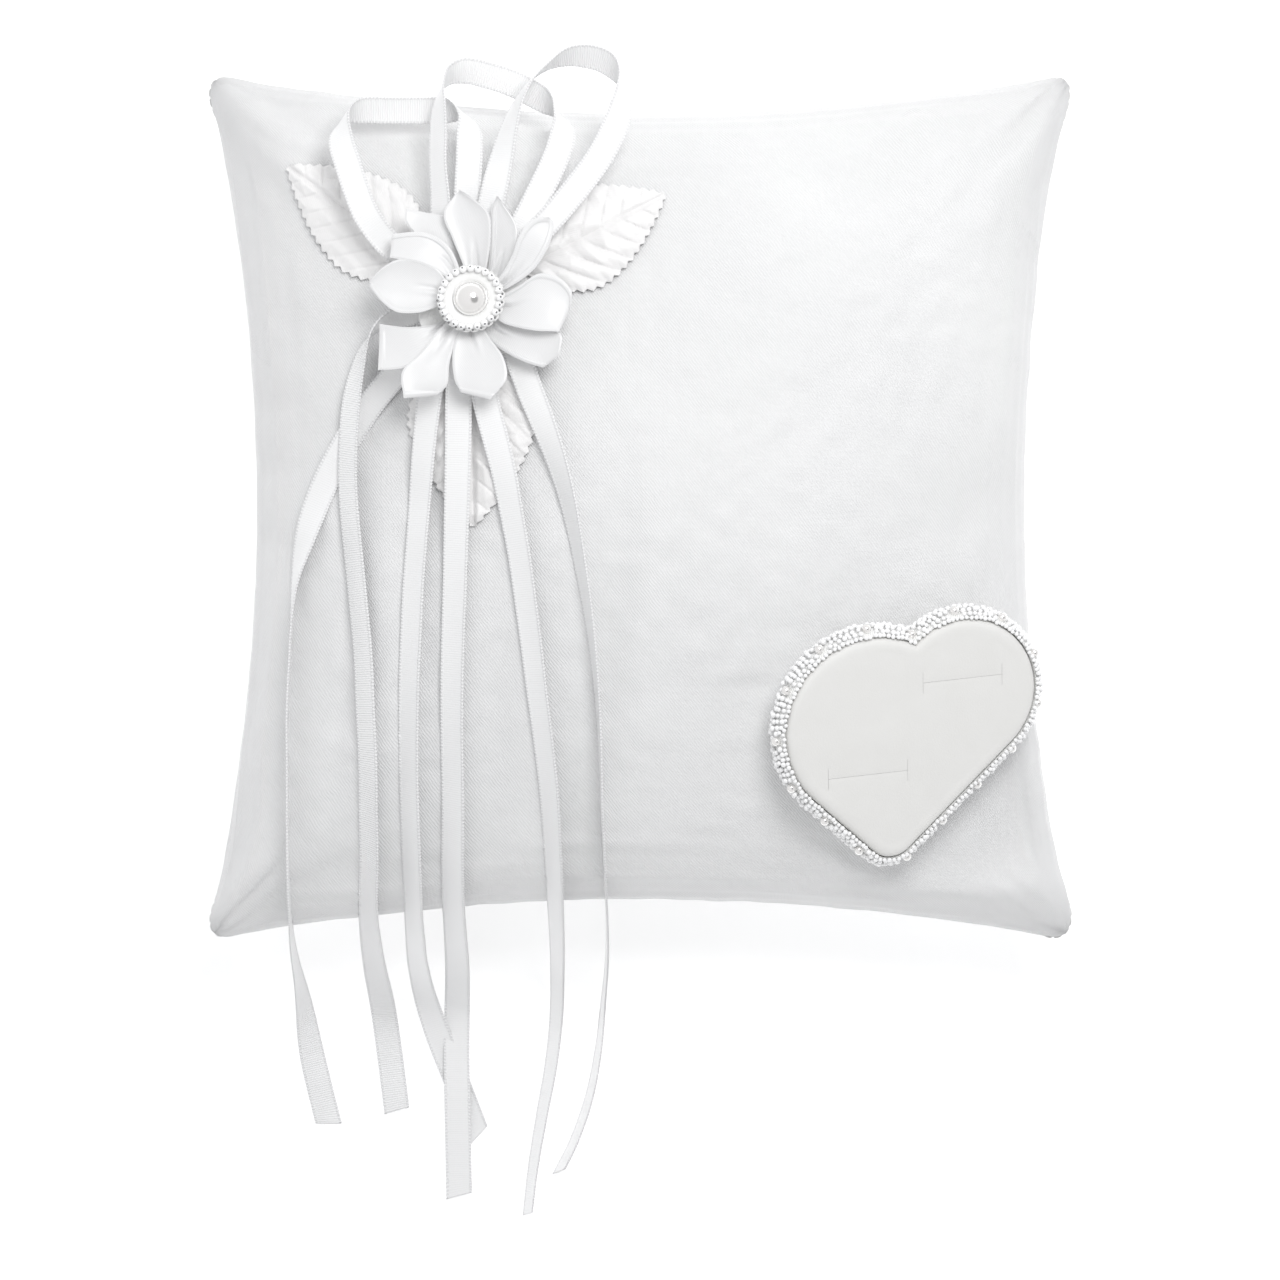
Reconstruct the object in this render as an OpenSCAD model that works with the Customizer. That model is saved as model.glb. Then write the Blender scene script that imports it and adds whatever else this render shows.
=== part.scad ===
// Ring bearer pillow: a square satin cushion that lies on its back, with a ribbon flower,
// three ribbon loops, six ribbon tails and a heart-shaped foam pad that holds the rings.
// Millimetres. +Z is up, and the origin is on the table under the middle of the cushion.

/* [Cushion] */
// Distance between neighbouring corners
pillow_w = 200; // [190:1:210]
// How far the middles of the left and right sides are drawn in
side_pull = 11; // [8:0.5:13]
// How far the middles of the top and bottom sides are drawn in
end_pull = 9; // [7:0.5:11]
// Height of the seam above the table
seam_z = 30; // [28:0.5:32]
// Rise of the crown above the seam
crown_h = 36; // [34:0.5:40]
// Fullness of the crown, where less is squarer
fullness = 0.35; // [0.3:0.01:0.45]
// Thickness of the lined satin cover
cover_t = 0.5; // [0.4:0.1:0.8]
// Width of the seam allowance
seam_w = 3; // [2:0.5:4]

/* [Ribbons] */
// Width of the satin ribbon
ribbon_w = 6; // [5:0.5:7]
// Thickness of the satin ribbon
ribbon_t = 0.5; // [0.4:0.1:0.6]

/* [Flower] */
// Middle of the flower, from the middle of the cushion
flower_xy = [-36.5, 44];
// Height of the felt base above the cushion
flower_lift = 5; // [4:0.5:6]
// Diameter of the felt base
base_d = 26; // [22:1:30]
// Diameter of the beaded bezel
bezel_d = 15; // [13:0.5:17]
// Diameter of the half pearl
pearl_d = 8; // [7:0.5:9]
// Number of beads round the bezel
bezel_bead_count = 24; // [20:1:26]
// Thickness of a folded petal
petal_t = 0.7; // [0.5:0.1:1]

/* [Leaves] */
// Thickness of a leaf
leaf_t = 0.6; // [0.4:0.1:0.8]
// Height of a leaf's arch between its edge and its midrib
leaf_arch = 1.4; // [0.5:0.1:1.6]

/* [Heart pad] */
// Middle of the heart pad, from the middle of the cushion
heart_xy = [58, -51];
// Lean of the pad towards +X, in degrees
heart_lean_x = 19; // [14:1:21]
// Lean of the pad towards -Y, in degrees
heart_lean_y = 14; // [10:1:16]
// How far the pad is pressed into the cushion
heart_press = 3; // [2:0.5:4]
// Thickness of the foam
heart_t = 8; // [7:0.5:9]
// Middle of the left lobe
lobe_l = [-8.5, 2.5];
// Radius of the left lobe
lobe_l_r = 21; // [20:0.5:22]
// Middle of the right lobe
lobe_r = [12.4, 10.8];
// Radius of the right lobe
lobe_r_r = 17; // [16:0.5:18]
// Middle of the rounded point
point_c = [-2.2, -21.5];
// Radius of the rounded point
point_r = 6; // [5:0.5:7]
// Length of a ring slit
slit_l = 19; // [17:0.5:21]
// Length of the short cut across each end of a slit
slit_bar = 5; // [4:0.5:6]
// Width of the cut
slit_w = 0.8; // [0.6:0.1:1]
// Depth of the cut
slit_depth = 6; // [5:0.5:6.5]
// Turn of the slits, in degrees
slit_turn = 6; // [3:1:9]
// Diameter of the large pearls round the heart
heart_pearl_d = 2.2; // [1.8:0.1:3]
// Diameter of the small beads round the heart
heart_bead_d = 1.4; // [1.2:0.1:1.6]

/* [Hidden] */

gap = 0.15;               // clearance between pieces that are sewn or glued together
seam_t = 0.4;             // thickness of the seam allowance
corner = pillow_w / 2;    // distance of a corner from the middle, along X and along Y
crown_z = seam_z + crown_h;
cells = 24;               // cells along one side of a cover panel
filling_cells = 18;
petal_cells = [8, 6];
leaf_cells = [12, 6];
stitch_d = 0.6;
stitch_pitch = 5;
hang_in = 8;              // a tail leaves the cushion this far inside its edge
hang_out = 26;            // and touches the table this far outside it
leaf_lift = 0.7;
bezel_z = 6.2;            // underside of the bezel above the top of the felt base
bezel_t = 1.4;
bezel_bead_d = 1.7;
press_reach = 32;         // the cushion is pressed flat this far round the heart's middle
backing_t = 1;
backing_in = 2;           // the backing ends this far inside the heart's outline
tape_t = 0.6;
tape_h = 4.5;
tape_z = 1.8;             // lower edge of the bead tape above the foam's underside
pearl_pitch = 11;
bead_pitch = 3.4;
arc_steps = 48;

// Each petal: direction in degrees, length, width, and layer (0 is the lower one).
petals = [
    [171, 24, 12, 1], [140, 23, 10, 1], [121, 25, 10, 0], [98, 26, 10.5, 1],
    [74, 23, 9, 0], [50, 23, 9, 1], [2, 23, 12, 1], [-29, 23, 10, 0],
    [-78, 23.5, 12, 1], [-124, 25, 10.5, 1], [-153, 24, 10, 0]
];

// Each ring slit's middle, from the middle of the heart.
slit_places = [[11.3, 14.3], [-9.4, -8]];

// Routes of the ribbons. A loop's points are X, Y, height from the crown and roll in degrees;
// it starts and ends under the flower, with a fold at each of its two upper corners.
loop_left_route = [
    [-45, 50, -5.2, 0], [-52, 54.5, -4.5, 0], [-57.5, 59.5, -3.8, 0], [-61.5, 65, -3.5, 0],
    [-64, 71, -4.5, 0], [-66, 77, -6, 0], [-67.5, 82, -8, -15], [-67.5, 86, -10.5, -60],
    [-66, 88.5, -13, -110], [-62.5, 89.5, -14.5, -165], [-57, 89.5, -15, -180],
    [-50, 89.5, -15, -180], [-44.5, 89.5, -14.5, -165], [-41, 89, -12.5, -110],
    [-39, 87, -10, -60], [-38.5, 83, -7.5, -15], [-38.5, 78, -5.5, 0], [-38.8, 72, -4.5, 0],
    [-39, 65, -4.5, 0], [-38.5, 58, -5, 0], [-38, 52, -5.6, 0]
];
loop_middle_route = [
    [-41.5, 51, -4.2, 0], [-43.5, 57, -3.5, -10], [-44.5, 63, -3, -30], [-45, 70, -3, -45],
    [-45.5, 77, -4, -50], [-45.5, 84, -6, -50], [-45.5, 90, -8.5, -60], [-45, 94.5, -11, -85],
    [-43, 97.5, -13.5, -125], [-39.5, 98.5, -15, -165], [-34.5, 97.5, -16, -180],
    [-28.5, 95.5, -16, -180], [-23, 92.5, -15, -165], [-19.5, 90, -12.5, -115],
    [-17.5, 87, -9.5, -60], [-17.5, 83, -7, -15], [-19, 78, -5.5, 0], [-21.5, 72.5, -4.5, 0],
    [-24.5, 66.5, -4, 0], [-28, 60, -4, 0], [-31.5, 54, -4.6, 0]
];
loop_right_route = [
    [-36.5, 52, -3.4, 0], [-35.5, 58, -2.8, 0], [-34, 65, -2.4, 0], [-32.5, 72, -2.5, -10],
    [-31, 78.5, -3.5, -30], [-29.5, 85, -5, -50], [-27.5, 91, -7, -70], [-24.5, 96, -9.5, -85],
    [-20.5, 99.5, -11.5, -100], [-16, 101.5, -12.5, -130], [-11.5, 101.5, -12.5, -150],
    [-7.5, 100, -11.5, -145], [-5, 97, -9.5, -110], [-4, 93, -7.5, -65], [-4.5, 88.5, -5.5, -25],
    [-6.5, 83, -4, 0], [-9.5, 77.5, -3, 0], [-13.5, 72, -2.5, 0], [-18, 66.5, -2.4, 0],
    [-23, 61, -2.6, 0], [-28, 56, -3, 0], [-32, 52, -3.6, 0]
];

// A tail's points are X, Y, height above what it lies on and roll in degrees.
tail_routes = [
    [
        [-46, 41, 2.6, 0], [-50, 35.5, 2.8, 0], [-54.5, 30, 2.4, 0], [-60, 23.5, 1.5, 0],
        [-65.5, 15.5, 1, 0], [-70, 7.5, 0.8, 0], [-73.5, -0.5, 1, 15], [-76, -8, 2.2, 40],
        [-78, -16, 3, 70], [-79, -25, 3.3, 85], [-79.5, -36, 3.4, 90], [-80, -48, 3.4, 90],
        [-80, -60, 3.4, 90], [-80, -72, 3.5, 90], [-80, -83, 3.8, 90], [-80, -92, 4, 90],
        [-80, -100, 4, 85], [-79.5, -108, 3.6, 75], [-78.5, -117, 2.8, 50],
        [-77, -127, 1.6, 20], [-75, -136, 0.6, 0], [-73, -144, 0.4, 0]
    ],
    [
        [-47, 44, 4.2, 0], [-53, 42.5, 4.8, 10], [-58.5, 40, 4.8, 20], [-62, 35.5, 4.4, 30],
        [-64, 29, 4, 40], [-65.2, 22, 3.6, 45], [-65.8, 14, 3, 45], [-66, 6, 2.7, 45],
        [-65.5, -3, 2.6, 45], [-64.5, -13, 2.6, 45], [-63.5, -23, 2.6, 45], [-62.5, -34, 2.6, 45],
        [-62, -46, 2.6, 45], [-61.5, -58, 2.6, 45], [-61.5, -70, 2.8, 45], [-61.5, -81, 3, 45],
        [-62, -90, 3, 42], [-62, -98, 2.8, 35], [-61.5, -107, 2.2, 25], [-60, -118, 1.2, 10],
        [-58.5, -129, 0.5, 0], [-57, -141, 0.4, 0]
    ],
    [
        [-44, 39.5, 3.4, 0], [-45.5, 33, 3.8, 5], [-47, 26, 3.8, 15], [-48, 18, 3.6, 25],
        [-48.8, 10, 3.2, 30], [-49.5, 1, 2.6, 35], [-50.2, -8, 2.5, 38], [-51, -18, 2.5, 38],
        [-51.5, -28, 2.5, 38], [-52, -39, 2.5, 40], [-52.2, -50, 2.6, 42], [-52.2, -61, 2.6, 45],
        [-52, -72, 2.8, 45], [-51.8, -82, 3, 45], [-51.7, -90, 3, 45], [-51.7, -98, 3, 40],
        [-51.5, -106, 2.6, 35], [-50, -115, 2, 25], [-47, -124, 1.2, 10], [-43, -134, 0.4, 0],
        [-38, -147, 0.4, 0]
    ],
    [
        [-40.5, 37, 4.2, 0], [-40.5, 30, 4.4, 0], [-40.7, 22, 4.4, 0], [-40.8, 13, 4.2, 10],
        [-41, 4, 3.6, 15], [-41.3, -6, 2.6, 20], [-41.6, -17, 2, 25], [-42, -28, 2, 28],
        [-42.3, -39, 2, 30], [-42.4, -50, 2.1, 32], [-42.3, -61, 2.2, 33], [-42.3, -72, 2.4, 33],
        [-42.5, -81, 2.6, 30], [-42.6, -89, 2.6, 30], [-42.5, -97, 2.4, 28], [-42.5, -106, 2, 20],
        [-42.8, -116, 1.6, 10], [-43, -126, 1.4, 0], [-42.8, -138, 1.5, 0], [-42.6, -150, 0.9, 0],
        [-42.4, -161, 0.4, 0]
    ],
    [
        [-36, 38, 5, 0], [-35.5, 31, 5.2, 0], [-34.5, 23, 5.2, 5], [-32.5, 15, 4.8, 10],
        [-30.5, 7, 4, 20], [-29, -1, 3, 28], [-27.2, -11, 2.5, 33], [-25.8, -21, 2.4, 35],
        [-24.5, -31, 2.4, 37], [-23.2, -42, 2.5, 40], [-21.8, -53, 2.6, 43], [-20.6, -64, 2.8, 45],
        [-19.9, -75, 3, 48], [-19.5, -84, 3.2, 50], [-19.3, -92, 3.3, 52], [-19.2, -100, 3.3, 55],
        [-19.3, -109, 3.2, 58], [-19.6, -119, 3.2, 60], [-20.8, -130, 3.2, 62],
        [-23, -142, 3.2, 65], [-25, -154, 3.2, 68], [-26.3, -165, 3.2, 70]
    ],
    [
        [-31, 40.5, 3.8, 0], [-27.5, 33, 4.4, 5], [-24.5, 25, 4.4, 10], [-21.5, 17.5, 4, 25],
        [-18.8, 10, 3.4, 40], [-16.5, 2, 3.2, 52], [-14.8, -6, 3.2, 60], [-13.2, -15, 3.2, 66],
        [-11.6, -25, 3.3, 72], [-10.3, -36, 3.3, 78], [-9.4, -47, 3.4, 82], [-8.9, -58, 3.4, 85],
        [-8.6, -69, 3.5, 87], [-8.1, -79, 3.6, 88], [-7.7, -88, 3.7, 88], [-7.5, -97, 3.6, 86],
        [-7.7, -106, 3.4, 84], [-8.6, -116, 3.3, 80], [-9.8, -127, 3.3, 76], [-12, -138, 3.3, 73],
        [-15.5, -148, 3.3, 72], [-19, -155, 3.3, 72]
    ]
];

// The cushion's form. u and v run from -1 to 1 across the panel, and the plan of the panel
// bows in between its corners.
function plan(u, v, half) = [
    u * (half - side_pull * (1 - v * v)),
    v * (half - end_pull * (1 - u * u))
];
function rise(u, v, height) = height * pow(max(0, (1 - u * u) * (1 - v * v)), fullness);

// The panel's u and v under a point, by repeated substitution.
function panel_uv(p, uv, steps = 12) = steps == 0 ? uv : panel_uv(p, [
    p.x / (corner - side_pull * (1 - uv[1] * uv[1])),
    p.y / (corner - end_pull * (1 - uv[0] * uv[0]))
], steps - 1);
function top_z(p) = let (uv = panel_uv(p, [p.x / corner, p.y / corner]))
    seam_z + rise(uv[0], uv[1], crown_h);
function slope(p) = [
    (top_z(p + [1, 0]) - top_z(p - [1, 0])) / 2,
    (top_z(p + [0, 1]) - top_z(p - [0, 1])) / 2
];

// The plane of the heart pad's underside, which flattens the cushion under it.
heart_normal = [
    cos(heart_lean_y) * sin(heart_lean_x),
    -sin(heart_lean_y),
    cos(heart_lean_y) * cos(heart_lean_x)
];
heart_z = top_z(heart_xy) - heart_press;
function pressed(p, z, under) = let (
    d = [p.x, p.y] - heart_xy,
    plane = heart_z - (heart_normal.x * d.x + heart_normal.y * d.y) / heart_normal.z,
    recovery = pow(max(0, norm(d) - press_reach), 2) / press_reach
) min(z, plane + recovery - under);

// What a tail lies on: the cushion, then a drop past its lower edge, then the table.
function edge_y(x) = -(corner - end_pull * (1 - pow(x / corner, 2)));
function drop_z(x, s) = let (
    start = [x, edge_y(x) + hang_in],
    fall = slope(start).y * (hang_in + hang_out)
) top_z(start) * (1 + 2 * s) * pow(1 - s, 2) - fall * s * pow(1 - s, 2);
function rest_z(p) = let (s = (edge_y(p.x) + hang_in - p.y) / (hang_in + hang_out))
    s <= 0 ? top_z(p) : s >= 1 ? 0 : drop_z(p.x, s);

function unit(v) = v / norm(v);
function xyz(p, z) = [p.x, p.y, z];
function toward_edge(k) = sin(90 * k);
function steps(n) = [for (i = [0 : n]) -1 + 2 * i / n];

// Positions along a ribbon, and its cross-section there, turned by the roll.
function tail_path(route) = [for (p = route) xyz(p, rest_z([p.x, p.y]) + p.z)];
function loop_path(route) = [for (p = route) xyz(p, crown_z + p.z)];
function tangent(path, i) = unit(path[min(i + 1, len(path) - 1)] - path[max(i - 1, 0)]);
function across(t, roll) = let (level = unit(cross(t, [0, 0, 1])))
    cos(roll) * level + sin(roll) * cross(t, level);
function ribbon_ring(path, i, roll) = let (
    t = tangent(path, i),
    w = across(t, roll) * ribbon_w / 2,
    n = cross(unit(w), t) * ribbon_t / 2
) [path[i] + w + n, path[i] - w + n, path[i] - w - n, path[i] + w - n];

// A closed tube through rings that have the same number of points. Opposite sides are split
// along the same diagonal, so that the two faces of a thin, twisted ribbon stay apart.
module tube(rings) {
    n = len(rings[0]);
    last = len(rings) - 1;
    sides = [
        for (i = [0 : last - 1], k = [0 : n - 1])
            let (a = i * n + k, b = i * n + (k + 1) % n)
                each (k < n / 2
                    ? [[a, b + n, b], [a, a + n, b + n]]
                    : [[a, a + n, b], [a + n, b + n, b]])
    ];
    ends = [[for (k = [0 : n - 1]) k], [for (k = [n - 1 : -1 : 0]) last * n + k]];
    polyhedron([for (ring = rings) each ring], concat(sides, ends));
}

module ribbon(path, route) {
    tube([for (i = [0 : len(path) - 1]) ribbon_ring(path, i, route[i][3])]);
}

// A closed sheet between an upper and a lower grid of points.
module sheet(upper, lower) {
    rows = len(upper);
    cols = len(upper[0]);
    under = rows * cols;
    faces = [
        for (i = [0 : rows - 2], j = [0 : cols - 2])
            let (a = i * cols + j, b = a + 1, c = a + cols + 1, d = a + cols)
                each [[a, b, c], [a, c, d], [under + a, under + c, under + b],
                    [under + a, under + d, under + c]]
    ];
    border = concat(
        [for (j = [0 : cols - 1]) j],
        [for (i = [1 : rows - 1]) i * cols + cols - 1],
        [for (j = [cols - 2 : -1 : 0]) (rows - 1) * cols + j],
        [for (i = [rows - 2 : -1 : 1]) i * cols]
    );
    rim = [
        for (k = [0 : len(border) - 1])
            let (a = border[k], b = border[(k + 1) % len(border)])
                each [[a, under + a, under + b], [a, under + b, b]]
    ];
    points = concat([for (row = upper) each row], [for (row = lower) each row]);
    polyhedron(points, concat(faces, rim));
}

// The cushion's upper surface, and its underside, flat where floor_z cuts it.
function upper_grid(n, half, height, start, under) = [
    for (a = steps(n)) [
        for (b = steps(n))
            let (u = toward_edge(b), v = toward_edge(-a), p = plan(u, v, half))
                xyz(p, pressed(p, seam_z + start + rise(u, v, height), under))
    ]
];
function lower_grid(n, half, height, start, floor_z) = [
    for (a = steps(n)) [
        for (b = steps(n))
            let (u = toward_edge(b), v = toward_edge(-a))
                xyz(plan(u, v, half), max(floor_z, seam_z - start - rise(u, v, height)))
    ]
];

module cover_front() {
    start = seam_t / 2;
    inner = crown_h - start - cover_t;
    color("white") sheet(
        upper_grid(cells, corner, crown_h - start, start, 0),
        upper_grid(cells, corner - cover_t, inner, start, cover_t)
    );
}

// The underside is flat where it rests on the table.
module cover_back() {
    start = seam_t / 2;
    inner = crown_h - start - cover_t;
    color("white") sheet(
        lower_grid(cells, corner - cover_t, inner, start, cover_t),
        lower_grid(cells, corner, crown_h - start, start, 0)
    );
}

module filling() {
    half = corner - seam_w - gap;
    height = crown_h - cover_t - 1.2;
    color("ivory") sheet(
        upper_grid(filling_cells, half, height, gap, cover_t + 1),
        lower_grid(filling_cells, half, height, gap, cover_t + gap)
    );
}

module panel_outline(half) {
    side = [for (i = [0 : cells - 1]) toward_edge(-1 + 2 * i / cells)];
    polygon(concat(
        [for (k = side) plan(k, -1, half)],
        [for (k = side) plan(1, k, half)],
        [for (k = side) plan(-k, 1, half)],
        [for (k = side) plan(-1, -k, half)]
    ));
}

module edge_seam() {
    color("white") translate([0, 0, seam_z - seam_t / 2]) linear_extrude(seam_t) difference() {
        panel_outline(corner);
        panel_outline(corner - seam_w);
    }
}

// Hand stitches that close the filling hole, in the middle of the upper side.
module closing_stitches() {
    color("white") for (k = [-5 : 5])
        translate([k * stitch_pitch, -edge_y(k * stitch_pitch) + stitch_d, seam_z - 1.5])
            cylinder(d = stitch_d, h = 3, $fn = 16);
}

// A leaf from its root to its tip, that follows the cushion, with a low midrib.
function leaf_half(s, half) = half * pow(sin(180 * pow(s, 0.85)), 0.8) + 0.6;
function leaf_grid(root, tip, half, lift) = let (
    along = tip - root,
    side = unit([-along.y, along.x])
) [
    for (i = [0 : leaf_cells[0]]) [
        for (t = steps(leaf_cells[1]))
            let (
                s = i / leaf_cells[0],
                p = root + s * along + t * leaf_half(s, half) * side,
                arch = leaf_arch * sin(180 * abs(t)) * sin(180 * s)
            )
                xyz(p, top_z(p) + leaf_lift + arch + lift)
    ]
];

module leaf(root, tip, half) {
    color("white") sheet(leaf_grid(root, tip, half, leaf_t), leaf_grid(root, tip, half, 0));
}

module leaf_left() {
    leaf([-48, 53], [-80, 77], 11);
}

module leaf_right() {
    leaf([-27, 53], [5.5, 70], 11.5);
}

module leaf_bottom() {
    leaf([-38, 36], [-37.5, -5], 14);
}

module loop_left() {
    color("white") ribbon(loop_path(loop_left_route), loop_left_route);
}

module loop_middle() {
    color("white") ribbon(loop_path(loop_middle_route), loop_middle_route);
}

module loop_right() {
    color("white") ribbon(loop_path(loop_right_route), loop_right_route);
}

module tail(i) {
    color("white") ribbon(tail_path(tail_routes[i - 1]), tail_routes[i - 1]);
}

// Places its children on the cushion, level with the slope there.
module on_cushion(p, lift) {
    s = slope(p);
    translate(xyz(p, top_z(p))) rotate([atan(s.y), -atan(s.x), 0]) translate([0, 0, lift]) children();
}

// Thread tacks between the cushion and the felt base, clear of the ribbons.
module flower_stitches() {
    color("white") on_cushion(flower_xy, gap + 0.35) for (a = [20, 200, 340])
        rotate([0, 0, a]) translate([10.5, 0, 0])
            cylinder(d = stitch_d, h = flower_lift - gap - 0.35, $fn = 16);
}

module flower_base() {
    color("white") on_cushion(flower_xy, flower_lift) cylinder(d = base_d, h = 1, $fn = 64);
}

// A folded ribbon petal that points along X: pinched at its root, cupped, with a raised tip.
function petal_half(s, width) = width / 2 * min(1, 0.35 + 1.1 * s) * pow(1 - pow(s, 6), 0.5);
function petal_height(s, t, layer) = 1.2 + 2.2 * layer + 3.2 * s * s + 1.6 * t * t * sin(180 * s);
function petal_grid(petal, lift) = [
    for (i = [0 : petal_cells[0]]) [
        for (t = steps(petal_cells[1]))
            let (s = i / petal_cells[0], r = 4 + s * (petal[1] - 4))
                [r, t * (petal_half(s, petal[2]) + 0.4), petal_height(s, t, petal[3]) + lift]
    ]
];

module petal(i) {
    p = petals[i - 1];
    color("white") on_cushion(flower_xy, flower_lift) rotate([0, 0, p[0]])
        sheet(petal_grid(p, petal_t), petal_grid(p, 0));
}

module on_bezel() {
    on_cushion(flower_xy, flower_lift + bezel_z) children();
}

// A shallow dish with a post that is glued to the felt base.
module bezel() {
    post = bezel_z - 1 - gap;
    color("white") on_bezel() {
        difference() {
            cylinder(d = bezel_d - 1, h = bezel_t, $fn = 64);
            translate([0, 0, bezel_t - 0.5]) cylinder(d = pearl_d, h = 1, $fn = 64);
        }
        translate([0, 0, -post]) cylinder(d = 5, h = post, $fn = 48);
    }
}

module bezel_beads() {
    ring_r = (bezel_d - bezel_bead_d) / 2;
    color("gainsboro") on_bezel() for (i = [0 : bezel_bead_count - 1])
        rotate([0, 0, i * 360 / bezel_bead_count])
            translate([ring_r, 0, bezel_t + bezel_bead_d / 2]) sphere(d = bezel_bead_d, $fn = 24);
}

module bezel_pearl() {
    color("snow") on_bezel() translate([0, 0, bezel_t - 0.5]) intersection() {
        sphere(d = pearl_d, $fn = 48);
        cylinder(d = pearl_d, h = pearl_d, $fn = 48);
    }
}

// The heart's outline, clockwise from its notch: the right lobe, a straight flank, the rounded
// point, the left flank and the left lobe. A flank touches both arcs where they share a normal.
function from(c, r, a) = c + r * [cos(a), sin(a)];
function angle(v) = atan2(v.y, v.x);
function flank_angle(lobe, r, side) = angle(lobe - point_c)
    + side * acos((point_r - r) / norm(lobe - point_c));
right_a = flank_angle(lobe_r, lobe_r_r, -1);
left_a = flank_angle(lobe_l, lobe_l_r, 1);

function notch(grow) = let (
    d = lobe_r - lobe_l,
    r = lobe_l_r + grow,
    a = (d * d + r * r - pow(lobe_r_r + grow, 2)) / (2 * norm(d)),
    h = sqrt(r * r - a * a)
) lobe_l + a * unit(d) + h * unit([-d.y, d.x]);

// The three arcs: centre, radius, first angle and last angle.
function heart_arcs(grow) = [
    [lobe_r, lobe_r_r + grow, angle(notch(grow) - lobe_r), right_a],
    [point_c, point_r + grow, right_a, left_a - 360],
    [lobe_l, lobe_l_r + grow, left_a, angle(notch(grow) - lobe_l)]
];
function arc(c, r, a, b, n, first, last) =
    [for (i = [first : last]) from(c, r, a + (b - a) * i / n)];

module heart_shape(grow) {
    polygon([for (k = heart_arcs(grow)) each arc(k[0], k[1], k[2], k[3], arc_steps, 0, arc_steps - 1)]);
}

// Points spaced evenly along the outline, about pitch apart.
function along_arc(k, pitch) = let (n = round(k[1] * abs(k[3] - k[2]) * PI / 180 / pitch))
    [for (i = [0 : n - 1]) from(k[0], k[1], k[2] + (k[3] - k[2]) * (i + 0.5) / n)];
function along_line(a, b, pitch) = let (n = round(norm(b - a) / pitch))
    [for (i = [0 : n - 1]) a + (b - a) * (i + 0.5) / n];
function flank_line(k, next, pitch) =
    along_line(from(k[0], k[1], k[3]), from(next[0], next[1], next[2]), pitch);
function heart_ring(grow, pitch) = let (arcs = heart_arcs(grow)) concat(
    along_arc(arcs[0], pitch),
    flank_line(arcs[0], arcs[1], pitch),
    along_arc(arcs[1], pitch),
    flank_line(arcs[1], arcs[2], pitch),
    along_arc(arcs[2], pitch)
);

module on_heart(z) {
    translate(xyz(heart_xy, heart_z)) rotate([heart_lean_y, heart_lean_x, 0])
        translate([0, 0, gap + z]) children();
}

module heart_backing() {
    color("white") on_heart(0) linear_extrude(backing_t) heart_shape(-backing_in);
}

module slit() {
    translate([-slit_l / 2, -slit_w / 2]) square([slit_l, slit_w]);
    for (side = [-1, 1]) translate([side * slit_l / 2 - slit_w / 2, -slit_bar / 2])
        square([slit_w, slit_bar]);
}

module heart_pad() {
    color("ivory") on_heart(backing_t) difference() {
        linear_extrude(heart_t) heart_shape(0);
        translate([0, 0, heart_t - slit_depth]) linear_extrude(slit_depth + 1)
            for (p = slit_places) translate(p) rotate(slit_turn) slit();
    }
}

module heart_tape() {
    color("white") on_heart(backing_t + tape_z) linear_extrude(tape_h) difference() {
        heart_shape(gap + tape_t);
        heart_shape(gap);
    }
}

module heart_pearls() {
    out = gap + tape_t + heart_pearl_d / 2;
    color("snow") on_heart(backing_t + tape_z + tape_h / 2) for (p = heart_ring(out, pearl_pitch))
        translate(xyz(p, 0)) sphere(d = heart_pearl_d, $fn = 32);
}

// Two rows of small beads above and below the large pearls.
module heart_beads() {
    out = gap + tape_t + heart_bead_d / 2;
    rows = [-1, 1] * (tape_h + heart_bead_d) / 4;
    color("snow") on_heart(backing_t + tape_z + tape_h / 2) for (z = rows)
        for (p = heart_ring(out, bead_pitch))
            translate(xyz(p, z)) sphere(d = heart_bead_d, $fn = 24);
}

cover_front();
cover_back();
filling();
edge_seam();
closing_stitches();
leaf_left();
leaf_right();
leaf_bottom();
loop_left();
loop_middle();
loop_right();
for (i = [1 : 6]) tail(i);
flower_stitches();
flower_base();
for (i = [1 : 11]) petal(i);
bezel();
bezel_beads();
bezel_pearl();
heart_backing();
heart_pad();
heart_tape();
heart_pearls();
heart_beads();
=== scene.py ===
"""The looks of the ring bearer pillow: satin cushion, ribbon flower, loops, tails and heart pad."""
import math

import bpy
import numpy as np
from mathutils import Matrix, Vector, noise
from mathutils.bvhtree import BVHTree


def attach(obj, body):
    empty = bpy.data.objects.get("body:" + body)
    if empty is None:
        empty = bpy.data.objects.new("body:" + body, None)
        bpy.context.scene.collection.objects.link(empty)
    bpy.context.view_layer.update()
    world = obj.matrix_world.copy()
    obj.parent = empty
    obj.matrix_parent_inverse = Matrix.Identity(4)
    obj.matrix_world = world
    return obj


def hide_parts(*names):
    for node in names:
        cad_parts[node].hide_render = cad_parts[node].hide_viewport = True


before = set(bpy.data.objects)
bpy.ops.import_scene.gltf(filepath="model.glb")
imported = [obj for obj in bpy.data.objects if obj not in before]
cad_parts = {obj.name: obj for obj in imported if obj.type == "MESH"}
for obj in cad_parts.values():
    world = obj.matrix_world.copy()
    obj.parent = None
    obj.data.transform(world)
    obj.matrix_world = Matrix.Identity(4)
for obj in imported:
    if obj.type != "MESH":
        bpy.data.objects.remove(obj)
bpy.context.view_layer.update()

MM = 0.001
TAU = 2 * math.pi

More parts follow.
